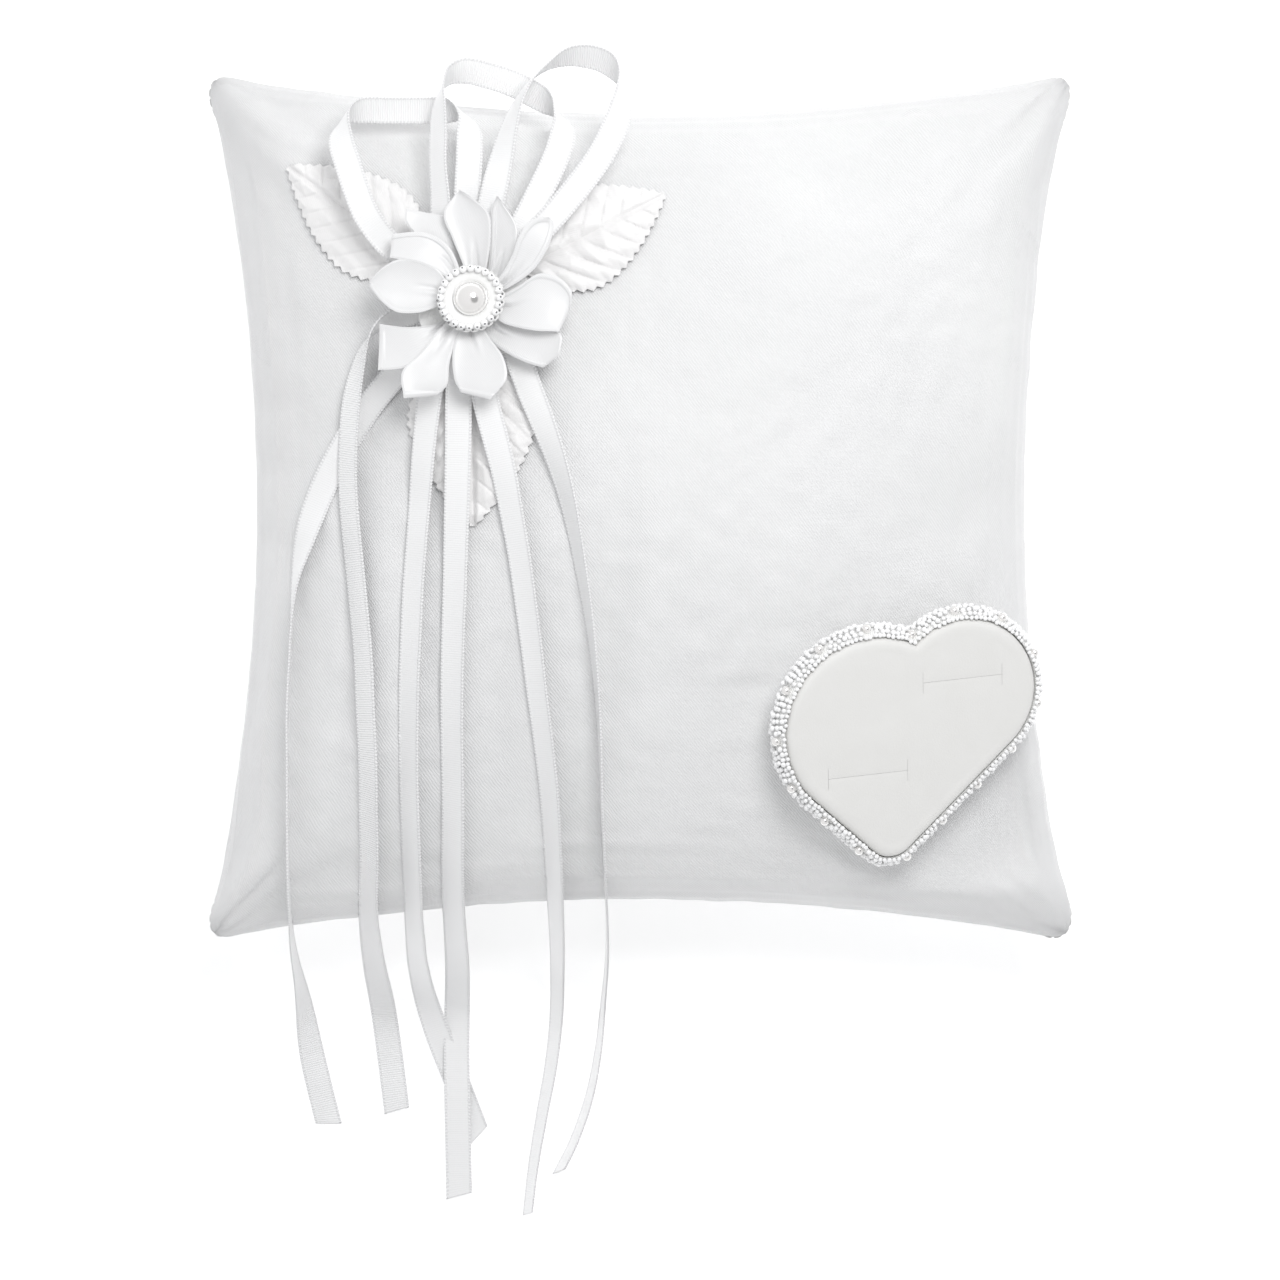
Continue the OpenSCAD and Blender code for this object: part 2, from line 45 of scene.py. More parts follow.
# ---------------------------------------------------------------- the camera
# Straight above the pillow, 1.5 m over its seam, with +Y up in the picture.
camera = bpy.data.objects.new("camera", bpy.data.cameras.new("camera"))
bpy.context.scene.collection.objects.link(camera)
camera.location = (0, -0.0306, 1.53)
camera.data.sensor_width = 36
camera.data.lens = 183.4
camera.data.clip_start, camera.data.clip_end = 0.1, 10
bpy.context.scene.camera = camera

# ---------------------------------------------------------------- the cushion's form, as in the CAD source
CORNER, SIDE_PULL, END_PULL = 100.0, 11.0, 9.0
SEAM_Z, CROWN_H, FULLNESS = 30.0, 36.0, 0.35
CROWN_Z = SEAM_Z + CROWN_H
HANG_IN, HANG_OUT = 8.0, 26.0
HEART_XY = np.array([58.0, -51.0])
HEART_LEAN = (math.radians(14), math.radians(19))
HEART_PRESS, PRESS_REACH = 3.0, 32.0
FLOWER_XY = np.array([-36.5, 44.0])
FLOWER_LIFT = 5.0
RIBBON_W = 6.0


def rise(u, v, height=CROWN_H):
    return height * np.maximum(0, (1 - u * u) * (1 - v * v)) ** FULLNESS


def panel_uv(x, y):
    u, v = x / CORNER, y / CORNER
    for _ in range(12):
        u, v = (
            x / (CORNER - SIDE_PULL * (1 - v * v)),
            y / (CORNER - END_PULL * (1 - u * u)),
        )
    return u, v


def top_z(x, y):
    return SEAM_Z + rise(*panel_uv(np.asarray(x, float), np.asarray(y, float)))


def slope(x, y):
    return (
        (top_z(x + 1, y) - top_z(x - 1, y)) / 2,
        (top_z(x, y + 1) - top_z(x, y - 1)) / 2,
    )


def edge_y(x):
    return -(CORNER - END_PULL * (1 - (x / CORNER) ** 2))


def turned(a, b):
    """Rotation by a about X, then by b about Y."""
    return np.array((Matrix.Rotation(b, 3, "Y") @ Matrix.Rotation(a, 3, "X")))


HEART_Z = float(top_z(*HEART_XY)) - HEART_PRESS
HEART_R = turned(*HEART_LEAN)
FLOWER_SLOPE = slope(*FLOWER_XY)
FLOWER_R = turned(math.atan(FLOWER_SLOPE[1]), -math.atan(FLOWER_SLOPE[0]))
FLOWER_O = np.array([*FLOWER_XY, float(top_z(*FLOWER_XY))])


def on_heart(points):
    return np.asarray(points, float) @ HEART_R.T + np.array([*HEART_XY, HEART_Z])


def on_flower(points):
    return np.asarray(points, float) @ FLOWER_R.T + FLOWER_O


def smooth(x, a, b):
    k = np.clip((x - a) / (b - a), 0, 1)
    return k * k * (3 - 2 * k)


def unit(v):
    return v / np.linalg.norm(v, axis=-1, keepdims=True)


def run_length(points):
    """Distance from the first point to each one, along the line through them."""
    return np.concatenate([[0], np.cumsum(np.linalg.norm(np.diff(points, axis=0), axis=1))])


def points_at(at, length, line):
    """Points of a line at the given distances along it."""
    return np.stack([np.interp(at, length, column) for column in line.T], -1)


def fbm(p, seed, octaves=3):
    total, gain = 0.0, 1.0
    for k in range(octaves):
        total += gain * noise.noise(Vector((p[0] * 2**k + seed, p[1] * 2**k, p[2] * 2**k)))
        gain *= 0.5
    return total


# ---------------------------------------------------------------- materials
class Graph:
    """A material's nodes, made in few words."""

    def __init__(self, name, color, roughness, **sockets):
        self.material = bpy.data.materials.new(name)
        self.material.use_nodes = True
        self.nodes = self.material.node_tree.nodes
        self.links = self.material.node_tree.links
        self.shader = self.nodes["Principled BSDF"]
        self.put("Base Color", (*color, 1))
        self.put("Roughness", roughness)
        for key, value in sockets.items():
            self.put(key.replace("_", " ").title().replace("Ior", "IOR"), value)

    def put(self, socket, value):
        if isinstance(value, bpy.types.NodeSocket):
            self.links.new(value, self.shader.inputs[socket])
        else:
            self.shader.inputs[socket].default_value = value

    def node(self, kind, out=0, inputs=(), **props):
        n = self.nodes.new("ShaderNode" + kind)
        for key, value in props.items():
            setattr(n, key, value)
        for key, value in dict(inputs).items():
            if isinstance(value, bpy.types.NodeSocket):
                self.links.new(value, n.inputs[key])
            else:
                n.inputs[key].default_value = value
        return n.outputs[out]

    def math(self, operation, a, b=0.0, c=0.0):
        return self.node("Math", 0, {0: a, 1: b, 2: c}, operation=operation)

    def wave(self, a, pitch):
        """0 to 1 and back once in each pitch."""
        turn = self.math("SINE", self.math("MULTIPLY", a, TAU / pitch))
        return self.math("MULTIPLY_ADD", turn, 0.5, 0.5)

    def noise(self, vector, scale, detail=3.0, roughness=0.55):
        return self.node(
            "TexNoise",
            0,
            {"Vector": vector, "Scale": scale, "Detail": detail, "Roughness": roughness},
        )

    def ramp(self, value, low, high, to_low, to_high):
        return self.node(
            "MapRange",
            0,
            {"Value": value, "From Min": low, "From Max": high, "To Min": to_low, "To Max": to_high},
        )

    def tint(self, factor, a, b):
        n = self.nodes.new("ShaderNodeMix")
        n.data_type = "RGBA"
        self.links.new(factor, n.inputs["Factor"])
        n.inputs["A"].default_value = (*a, 1)
        n.inputs["B"].default_value = (*b, 1)
        return n.outputs["Result"]

    def bump(self, height, distance_mm, strength=1.0, under=None):
        inputs = {"Height": height, "Distance": distance_mm * MM, "Strength": strength}
        if under is not None:
            inputs["Normal"] = under
        return self.node("Bump", 0, inputs)


def cloth_uv(g):
    """The cloth's own coordinates in millimetres: the vector, across, and along."""
    uv = g.node("UVMap", uv_map="cloth")
    split = g.nodes.new("ShaderNodeSeparateXYZ")
    g.links.new(uv, split.inputs[0])
    return uv, split.outputs[0], split.outputs[1]


def satin_cloth(name, color, shade, roughness, twill, depth, **sockets):
    """Satin with a diagonal twill line and faint threads, soft slubs and a little uneven sheen."""
    g = Graph(name, color, roughness, **sockets)
    uv, across, along = cloth_uv(g)
    wobble = g.math("MULTIPLY", g.noise(uv, 0.35, 2.0), 0.6)
    slant = g.math("ADD", g.math("MULTIPLY_ADD", across, 0.8, g.math("MULTIPLY", along, 0.6)), wobble)
    line = g.wave(slant, twill)
    weft = g.wave(along, twill * 0.47)
    warp = g.wave(across, twill * 0.53)
    threads = g.math("MULTIPLY", weft, warp)
    cloud = g.noise(uv, 0.045, 4.0)
    slub = g.noise(g.node("Mapping", 0, {"Vector": uv, "Scale": (2.6, 0.12, 1)}), 1.0, 2.0)
    height = g.math("ADD", line, g.math("MULTIPLY_ADD", threads, 0.9, g.math("MULTIPLY", slub, 0.5)))
    g.put("Normal", g.bump(height, depth))
    patches = g.ramp(g.noise(uv, 0.022, 2.0), 0.42, 0.6, 0.25, 1)
    lines = g.math("MULTIPLY", g.math("MULTIPLY", line, patches), 0.8)
    wear = g.math("SUBTRACT", g.ramp(cloud, 0.3, 0.7, 0.55, 1.0), lines)
    g.put("Base Color", g.tint(wear, shade, color))
    gloss = g.math("MULTIPLY_ADD", line, -0.06, roughness)
    g.put("Roughness", g.math("ADD", g.ramp(cloud, 0.3, 0.7, -0.05, 0.05), gloss))
    return g.material


def ribbon_cloth(name, color, shade, roughness, rib, depth, **sockets):
    """One face of the ribbon: cross ribs, warp streaks, and a beaded selvedge along both edges."""
    g = Graph(name, color, roughness, **sockets)
    uv, across, along = cloth_uv(g)
    ribs = g.wave(along, 0.52)
    streak = g.noise(g.node("Mapping", 0, {"Vector": uv, "Scale": (5.0, 0.16, 1)}), 1.0, 2.0)
    edge = g.ramp(g.math("ABSOLUTE", across), RIBBON_W / 2 - 0.62, RIBBON_W / 2 - 0.5, 0, 1)
    picot = g.math("MULTIPLY", edge, g.wave(along, 0.78))
    body = g.math("MULTIPLY_ADD", ribs, rib, g.math("MULTIPLY", streak, 0.35))
    body = g.math("MULTIPLY", body, g.math("SUBTRACT", 1.0, edge))
    g.put("Normal", g.bump(g.math("MULTIPLY_ADD", picot, 1.6, body), depth))
    # Painted shade: the colour darkens between the picots of the edge and in the hollows between the ribs.
    dark = g.math("ADD", g.math("MULTIPLY", edge, g.math("SUBTRACT", 1.0, g.wave(along, 0.78))),
                  g.math("MULTIPLY", g.math("SUBTRACT", 1.0, ribs), rib * 0.35))
    g.put("Base Color", g.tint(dark, color, shade))
    gloss = g.ramp(streak, 0.3, 0.7, roughness - 0.05, roughness + 0.05)
    g.put("Roughness", g.math("ADD", g.math("MULTIPLY", edge, 0.25), gloss))
    return g.material


def object_space(g):
    return g.node("TexCoord", 3)


cover_satin = satin_cloth(
    "cover_satin", (0.855, 0.855, 0.857), (0.765, 0.766, 0.77), 0.36, 0.54, 0.06,
    anisotropic=0.35, sheen_weight=0.12, sheen_roughness=0.4, specular_ior_level=0.5)
leaf_satin = satin_cloth(
    "leaf_satin", (0.88, 0.874, 0.872), (0.84, 0.832, 0.83), 0.38, 0.42, 0.02,
    anisotropic=0.3, sheen_weight=0.1, sheen_roughness=0.4)
petal_satin = satin_cloth(
    "petal_satin", (0.8, 0.8, 0.802), (0.77, 0.77, 0.775), 0.33, 0.3, 0.008,
    anisotropic=0.4, sheen_weight=0.08, sheen_roughness=0.35)
ribbon_face = ribbon_cloth(
    "ribbon_face", (0.9, 0.9, 0.902), (0.76, 0.76, 0.765), 0.34, 0.35, 0.05,
    anisotropic=0.4, sheen_weight=0.08, sheen_roughness=0.35)
ribbon_back = ribbon_cloth(
    "ribbon_back", (0.93, 0.93, 0.932), (0.79, 0.79, 0.795), 0.5, 1.0, 0.09,
    sheen_weight=0.1, sheen_roughness=0.5)


def solid_finish(name, color, shade, roughness, scale, depth, detail=3.0, **sockets):
    """A finish for moulded, foamed and felted pieces: mottled colour, grain and uneven gloss."""
    g = Graph(name, color, roughness, **sockets)
    place = object_space(g)
    grain = g.noise(place, scale, detail, 0.6)
    patch = g.noise(place, scale * 0.06, 2.0)
    mottle = g.math("MULTIPLY_ADD", grain, 0.4, g.math("MULTIPLY", patch, 0.6))
    g.put("Base Color", g.tint(g.ramp(mottle, 0.35, 0.65, 0, 1), shade, color))
    g.put("Roughness", g.ramp(grain, 0.3, 0.7, roughness * 0.85, min(1.0, roughness * 1.15)))
    g.put("Normal", g.bump(grain, depth))
    return g.material


foam = solid_finish("foam", (0.775, 0.771, 0.755), (0.757, 0.752, 0.734), 0.7, 2600, 0.03)
felt = solid_finish("felt", (0.9, 0.9, 0.895), (0.82, 0.82, 0.81), 0.95, 2200, 0.18, 5.0,
                    sheen_weight=0.3)
bezel_plastic = solid_finish("bezel_plastic", (0.92, 0.92, 0.915), (0.89, 0.89, 0.88), 0.16, 700, 0.004,
                             coat_weight=0.6, coat_roughness=0.08)
pearl = solid_finish("pearl", (0.95, 0.94, 0.935), (0.92, 0.905, 0.895), 0.12, 350, 0.002, metallic=0.65,
                     coat_weight=1.0, coat_roughness=0.06, thin_film_thickness=260.0)
clear_bead = solid_finish("clear_bead", (0.97, 0.97, 0.97), (0.92, 0.92, 0.925), 0.12, 900, 0.01,
                          coat_weight=1.0, coat_roughness=0.05)
# The beads' silver linings, coloured dark: a painted dark reflection.
bead_lining_painted_reflection = solid_finish("bead_lining_painted_reflection", (0.3, 0.3, 0.31), (0.12, 0.12, 0.125), 0.35, 900, 0.01,
                           metallic=0.6)
# A darker copy of the foam for the walls of the slits: painted shade inside the cuts.
slit_painted_shade = solid_finish("slit_painted_shade", (0.62, 0.6, 0.56), (0.5, 0.485, 0.45), 0.85, 3000, 0.05)


def thread_finish():
    g = Graph("thread", (0.9, 0.9, 0.89), 0.55, sheen_weight=0.2)
    uv, across, along = cloth_uv(g)
    twist = g.wave(g.math("ADD", along, g.math("MULTIPLY", across, 0.5)), 0.5)
    g.put("Normal", g.bump(twist, 0.06))
    # Painted shade: the colour darkens in the grooves of the twist.
    g.put("Base Color", g.tint(twist, (0.8, 0.8, 0.79), (0.93, 0.93, 0.92)))
    g.put("Roughness", g.ramp(twist, 0, 1, 0.65, 0.5))
    return g.material


thread = thread_finish()


# ---------------------------------------------------------------- mesh helpers
def shade_smooth(mesh, sharp=None):
    """Smooth shading, with sharp edges above an angle in degrees."""
    mesh.polygons.foreach_set("use_smooth", np.ones(len(mesh.polygons), bool))
    if sharp:
        mesh.set_sharp_from_angle(angle=math.radians(sharp))


def piece(name, points, faces, materials, uv=None, index=None, sharp=None, body="root"):
    """A new mesh piece from points in millimetres."""
    mesh = bpy.data.meshes.new(name)
    mesh.from_pydata((np.asarray(points, float) * MM).tolist(), [], [list(map(int, f)) for f in faces])
    for m in materials:
        mesh.materials.append(m)
    if uv is not None:
        corner = np.empty(len(mesh.loops), int)
        mesh.loops.foreach_get("vertex_index", corner)
        layer = mesh.uv_layers.new(name="cloth")
        layer.data.foreach_set("uv", np.asarray(uv, np.float32)[corner].ravel())
    if index is not None:
        mesh.polygons.foreach_set("material_index", np.asarray(index, np.int32))
    shade_smooth(mesh, sharp)
    mesh.update()
    obj = bpy.data.objects.new(name, mesh)
    bpy.context.scene.collection.objects.link(obj)
    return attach(obj, body)


def slab(upper, lower):
    """Points and outward faces of a closed sheet between two grids. Rows run along X, columns along Y."""
    rows, cols = upper.shape[:2]
    n = rows * cols
    i = np.arange(n).reshape(rows, cols)
    a, b, c, d = i[:-1, :-1], i[:-1, 1:], i[1:, 1:], i[1:, :-1]
    top = np.stack([a, d, c, b], -1).reshape(-1, 4)
    ring = np.concatenate([i[:, 0], i[-1, 1:], i[::-1, -1][1:], i[0, ::-1][1:-1]])
    after = np.roll(ring, -1)
    rim = np.stack([ring + n, after + n, after, ring], -1)
    faces = np.concatenate([top, top[:, ::-1] + n, rim])
    return np.concatenate([upper.reshape(-1, 3), lower.reshape(-1, 3)]), faces


def spline(points, step):
    """Points at even steps along a smooth curve through the rows, which start with X, Y, Z."""
    p = np.asarray(points, float)
    t = run_length(p[:, :3])
    m = np.empty_like(p)
    m[1:-1] = (p[2:] - p[:-2]) / (t[2:] - t[:-2])[:, None]
    m[0], m[-1] = (p[1] - p[0]) / (t[1] - t[0]), (p[-1] - p[-2]) / (t[-1] - t[-2])

    def at(x):
        k = np.clip(np.searchsorted(t, x, side="right") - 1, 0, len(t) - 2)
        h = (t[k + 1] - t[k])[:, None]
        s = ((x - t[k]) / (t[k + 1] - t[k]))[:, None]
        return (
            (2 * s**3 - 3 * s**2 + 1) * p[k]
            + (s**3 - 2 * s**2 + s) * h * m[k]
            + (3 * s**2 - 2 * s**3) * p[k + 1]
            + (s**3 - s**2) * h * m[k + 1]
        )

    fine = np.linspace(0, t[-1], 2000)
    length = run_length(at(fine)[:, :3])
    count = max(2, round(length[-1] / step) + 1)
    return at(np.interp(np.linspace(0, length[-1], count), length, fine))


def tube(path, radius, sides=8):
    """Points and faces of a round tube along a path in millimetres, with closed ends."""
    path = np.asarray(path, float)
    t = unit(np.gradient(path, axis=0))
    ref = np.where(np.abs(t[:, 2:3]) > 0.9, [[1.0, 0, 0]], [[0, 0, 1.0]])
    a = unit(np.cross(t, ref))
    b = np.cross(t, a)
    angle = (np.arange(sides) / sides * TAU)[None, :, None]
    return ring_faces(path[:, None] + radius * (a[:, None] * np.cos(angle) + b[:, None] * np.sin(angle)))


def bands(i):
    """Faces between each row of point numbers and the next, closed round the row."""
    j = np.roll(i, -1, axis=1)
    return np.stack([i[:-1], i[1:], j[1:], j[:-1]], -1).reshape(-1, 4)


def ring_faces(ring):
    """Points and faces of a row of rings, closed at both ends."""
    count, sides = ring.shape[:2]
    i = np.arange(count * sides).reshape(count, sides)
    return ring.reshape(-1, 3), [*bands(i).tolist(), i[0].tolist(), i[-1][::-1].tolist()]


def hoop_faces(ring):
    """Faces of a row of rings whose last one joins the first."""
    count, sides = ring.shape[:2]
    i = np.arange(count * sides).reshape(count, sides)
    return bands(np.concatenate([i, i[:1]]))


def join(parts):
    """One set of points and faces out of several."""
    points, faces, start = [], [], 0
    for p, f in parts:
        points.append(p)
        faces += [[k + start for k in face] for face in f]
        start += len(p)
    return np.concatenate(points), faces


def ball(centre, radius, segments, rings, squash=(1, 1, 1)):
    """Points and faces of a ball, or of one squashed along the axes."""
    a = np.arange(segments) / segments * TAU
    b = np.linspace(0, math.pi, rings + 1)[1:-1]
    grid = np.stack([np.outer(np.sin(b), np.cos(a)), np.outer(np.sin(b), np.sin(a)),
                     np.outer(np.cos(b), np.ones(segments))], -1)
    points = np.concatenate([grid.reshape(-1, 3), [[0, 0, 1], [0, 0, -1]]]) * np.asarray(squash) * radius
    n = grid.shape[0] * segments
    i = np.arange(n).reshape(-1, segments)
    j = np.roll(i, -1, axis=1)
    faces = bands(i).tolist()
    faces += [[n, int(x), int(y)] for x, y in zip(i[0], j[0])]
    faces += [[n + 1, int(y), int(x)] for x, y in zip(i[-1], j[-1])]
    return points + np.asarray(centre), faces


# ---------------------------------------------------------------- the cushion, inflated as cloth
CELLS = 84
FLAT_HALF = 103.5
SIM_SCALE = 0.01
SIM_FRAMES = 45
# The most that the simulation moves the form broadly, and in its folds.
BROAD_MOST, FOLD_MOST = 1.6, 2.6
FOLD_GAIN = 1.5
MOTTLE, BACK_MOTTLE, PUCKER = 0.2, 0.35, 0.75


def arc_positions():
    """Panel positions whose spacing is even along the crown's profile."""
    u = np.sin(np.linspace(0, math.pi / 2, 4001))
    profile = np.stack([(CORNER - SIDE_PULL) * u, CROWN_H * np.maximum(0, 1 - u * u) ** FULLNESS], 1)
    length = run_length(profile)
    half = np.interp(np.linspace(0, 1, CELLS // 2 + 1), length / length[-1], u)
    return np.concatenate([-half[:0:-1], half])


def cushion_grids():
    """Both panels as they are, and as they are cut, before the seam's height is added."""
    line = arc_positions()
    flat = np.linspace(-FLAT_HALF, FLAT_HALF, CELLS + 1)
    u, v = np.meshgrid(line, line, indexing="ij")
    x = u * (CORNER - SIDE_PULL * (1 - v * v))
    y = v * (CORNER - END_PULL * (1 - u * u))
    z = rise(u, v)
    fx, fy = np.meshgrid(flat, flat, indexing="ij")
    top, bottom = np.stack([x, y, z], -1), np.stack([x, y, -z], -1)
    rest_top = np.stack([fx, fy, z * 0.02], -1)
    rest_bottom = np.stack([fx, fy, -z * 0.02], -1)
    return top, bottom, rest_top, rest_bottom


n_line = CELLS + 1
top_index = np.arange(n_line * n_line).reshape(n_line, n_line)
bottom_index = top_index.copy()
bottom_index[1:-1, 1:-1] = n_line * n_line + np.arange((n_line - 2) ** 2).reshape(n_line - 2, n_line - 2)


def grid_faces(i, flip):
    a, b, c, d = i[:-1, :-1], i[:-1, 1:], i[1:, 1:], i[1:, :-1]
    order = [a, b, c, d] if flip else [a, d, c, b]
    return np.stack(order, -1).reshape(-1, 4)


cushion_faces = np.concatenate([grid_faces(top_index, False), grid_faces(bottom_index, True)])


def both(top, bottom):
    return np.concatenate([top.reshape(-1, 3), bottom[1:-1, 1:-1].reshape(-1, 3)])


def inflate(start, rest, frames):
    """The start shape blown up as cloth whose springs were cut flat, pinned at its four corners."""
    mesh = bpy.data.meshes.new("inflating")
    mesh.from_pydata((start * SIM_SCALE).tolist(), [], cushion_faces.tolist())
    obj = bpy.data.objects.new("inflating", mesh)
    scene = bpy.context.scene
    scene.collection.objects.link(obj)
    obj.shape_key_add(name="Basis")
    cut = obj.shape_key_add(name="cut")
    cut.data.foreach_set("co", (rest * SIM_SCALE).astype(np.float32).ravel())
    pins = obj.vertex_groups.new(name="pins")
    pins.add([int(top_index[a, b]) for a in (0, -1) for b in (0, -1)], 1.0, "REPLACE")
    cloth = obj.modifiers.new("cloth", "CLOTH")
    s = cloth.settings
    s.quality = 8
    s.mass = 0.3
    s.tension_stiffness = s.compression_stiffness = 60
    s.shear_stiffness = 18
    s.bending_stiffness = 0.05
    s.tension_damping = s.compression_damping = s.shear_damping = 25
    s.bending_damping = 5
    s.air_damping = 8
    s.use_pressure = True
    s.uniform_pressure_force = 1.2
    s.effector_weights.gravity = 0
    s.vertex_group_mass = "pins"
    s.rest_shape_key = cut
    cloth.point_cache.frame_start, cloth.point_cache.frame_end = 1, frames + 1
    for f in range(1, frames + 1):
        scene.frame_set(f)
    evaluated = obj.evaluated_get(bpy.context.evaluated_depsgraph_get())
    co = np.empty(len(evaluated.data.vertices) * 3, np.float32)
    evaluated.data.vertices.foreach_get("co", co)
    bpy.data.objects.remove(obj)
    scene.frame_set(1)
    return co.reshape(-1, 3).astype(float) / SIM_SCALE


def blur(grid, times):
    """Repeated averaging of a grid with its neighbours, edges held in by reflection."""
    for _ in range(times):
        for axis in (0, 1):
            wider = [(1, 1) if k == axis else (0, 0) for k in range(grid.ndim)]
            p = np.pad(grid, wider, mode="reflect", reflect_type="odd")
            lo = np.take(p, range(0, p.shape[axis] - 2), axis)
            hi = np.take(p, range(2, p.shape[axis]), axis)
            grid = 0.5 * grid + 0.25 * (lo + hi)
    return grid


def limited(moved, most):
    """Movement whose length eases off towards the most allowed."""
    size = np.linalg.norm(moved, axis=-1, keepdims=True)
    return moved * np.where(size > 1e-9, most * np.tanh(size / most) / np.maximum(size, 1e-9), 1)


def settled(moved):
    """The simulated movement, its broad part and its folds each limited."""
    broad = blur(moved, 60)
    return limited(broad, BROAD_MOST) + limited(moved - broad, FOLD_MOST)


# Soft folds in the front panel: from point to point, half width, and height before FOLD_GAIN.
FOLDS = [
    ((-66, 14), (-68, -78), 4.5, -0.9), ((-57, 16), (-57, -80), 4.5, 0.8),
    ((-30, 0), (-33, -84), 5, -0.7), ((-3, 8), (-13, -84), 5, -0.9), ((5, 2), (-2, -70), 5, 0.6),
    ((-98, 97), (-72, 70), 4, 0.9), ((-97, 90), (-80, 55), 4, -0.8), ((-90, 97), (-62, 78), 4, -0.8),
    ((98, 97), (78, 66), 4, 0.9), ((90, 97), (60, 78), 5, -0.9), ((97, 88), (86, 50), 4, -0.8),
    ((-98, -97), (-74, -72), 4, 0.9), ((-90, -97), (-62, -80), 4, -1.0), ((-97, -88), (-84, -58), 4, -0.8),
    ((98, -97), (86, -76), 4, 0.8), ((90, -97), (66, -86), 4, -0.9),
    ((28, 86), (52, 64), 6, -0.7), ((-18, 31), (36, 32), 0.8, 0.18), ((10, -36), (40, -38), 1.2, 0.15),
    ((-90, 24), (-78, 22), 2.2, -0.5), ((-90, 8), (-79, 9), 2.4, -0.5), ((-89, -9), (-77, -7), 2.2, -0.5),
    ((30, -88), (46, -50), 6, -0.6), ((84, 10), (70, -10), 6, -0.5),
]


def fold_height(x, y):
    total = np.zeros_like(x)
    for (x0, y0), (x1, y1), width, height in FOLDS:
        d = np.array([x1 - x0, y1 - y0], float)
        k = ((x - x0) * d[0] + (y - y0) * d[1]) / (d @ d)
        off = np.hypot(x - x0 - np.clip(k, 0, 1) * d[0], y - y0 - np.clip(k, 0, 1) * d[1])
        ends = np.sin(np.clip(k, 0.02, 0.98) * math.pi) ** 0.6
        total += FOLD_GAIN * height * ends * np.exp(-((off / width) ** 2))
    return total


def normals_of(grid):
    return unit(np.cross(np.gradient(grid, axis=0), np.gradient(grid, axis=1)) + 1e-9)


def corner_rounding(grid, radius=7.0):
    """Rounds the plan of each corner to the radius."""
    out = grid.copy()
    a, b = np.abs(grid[..., 0]) - (CORNER - radius), np.abs(grid[..., 1]) - (CORNER - radius)
    inside = (a > 0) & (b > 0)
    far = np.maximum(a, b)
    reach = np.hypot(a, b)
    share = np.clip(far / radius, 0, 1) ** 2
    shrink = np.where(inside, 1 - (1 - far / np.maximum(reach, 1e-9)) * share, 1)
    for axis, over in ((0, a), (1, b)):
        old = grid[..., axis]
        out[..., axis] = np.where(inside, np.sign(old) * (CORNER - radius + over * shrink), old)
    return out


def make_cushion():
    """The closed two-panel cushion: its points, and its front panel as a grid."""
    top, bottom, rest_top, rest_bottom = cushion_grids()
    blown = inflate(both(top, bottom), both(rest_top, rest_bottom), SIM_FRAMES)
    n = n_line
    blown_top = blown[: n * n].reshape(n, n, 3)
    blown_bottom = blown_top.copy()
    blown_bottom[1:-1, 1:-1] = blown[n * n :].reshape(n - 2, n - 2, 3)
    moved_top, moved_bottom = settled(blown_top - top), settled(blown_bottom - bottom)
    seam_line = 1 - np.clip(np.abs(rest_top[..., :2]).max(-1) / FLAT_HALF, 0, 1) < 1e-6
    shared = ((moved_top + moved_bottom) / 2)[seam_line]
    moved_top[seam_line], moved_bottom[seam_line] = shared, shared
    top, bottom = top + moved_top, bottom + moved_bottom
    x, y = top[..., 0], top[..., 1]
    # Distance in from the seam.
    edge = np.clip((CORNER - np.abs(rest_top[..., :2]) * CORNER / FLAT_HALF).min(-1), 0, None)
    ripple = np.zeros_like(x)
    mottle = np.zeros_like(x)
    for i in range(n_line):
        for j in range(n_line):
            fx, fy = rest_top[i, j, 0], rest_top[i, j, 1]
            mottle[i, j] = fbm((fx / 34, fy / 34, 0.3), 3.1)
            along = fx if abs(fy) > abs(fx) else fy
            side = 10 * (2 * (abs(fy) > abs(fx)) + (fx + fy > 0))
            ripple[i, j] = noise.noise(Vector((along / 4.2, side, 1.7)))
    fade = np.exp(-edge / 6.5) * smooth(edge, 0, 1.5)
    pushed = fold_height(x, y) + MOTTLE * mottle * smooth(edge, 0, 18) + PUCKER * ripple * fade
    top = top + normals_of(top) * pushed[..., None]
    pushed = BACK_MOTTLE * mottle[::-1] + PUCKER * np.roll(ripple, 3, 0) * fade
    bottom = bottom - normals_of(bottom) * pushed[..., None] * smooth(edge, 0, 6)[..., None]
    bottom[edge <= 0] = top[edge <= 0]
    for grid in (top, bottom):
        grid[..., 2] += SEAM_Z
    top, bottom = corner_rounding(top), corner_rounding(bottom)
    # The heart pad presses the front flat, and the table the back.
    d = top[..., :2] - HEART_XY
    normal = HEART_R[:, 2]
    plane = HEART_Z - 0.1 - (d @ normal[:2]) / normal[2]
    reach = np.maximum(0, np.linalg.norm(d, axis=-1) - PRESS_REACH)
    plane = plane + reach**2 / PRESS_REACH
    gap = top[..., 2] - plane
    top[..., 2] = np.where(edge > 0, plane + 0.5 * (gap - np.sqrt(gap**2 + 0.4)), top[..., 2])
    low = bottom[..., 2]
    bottom[..., 2] = np.where(edge > 0, 0.5 * (low + np.sqrt(low**2 + 0.8)), low)
    bottom[..., 2] -= np.where(edge > 0, bottom[..., 2].min(), 0)
    points = both(top, bottom)
    uv = both(rest_top, rest_bottom)[:, :2]
    obj = piece("cushion", points, cushion_faces, [cover_satin], uv=uv)
    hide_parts("cover_front", "cover_back", "filling")
    sub = obj.modifiers.new("sub", "SUBSURF")
    sub.levels = sub.render_levels = 1
    return points, top


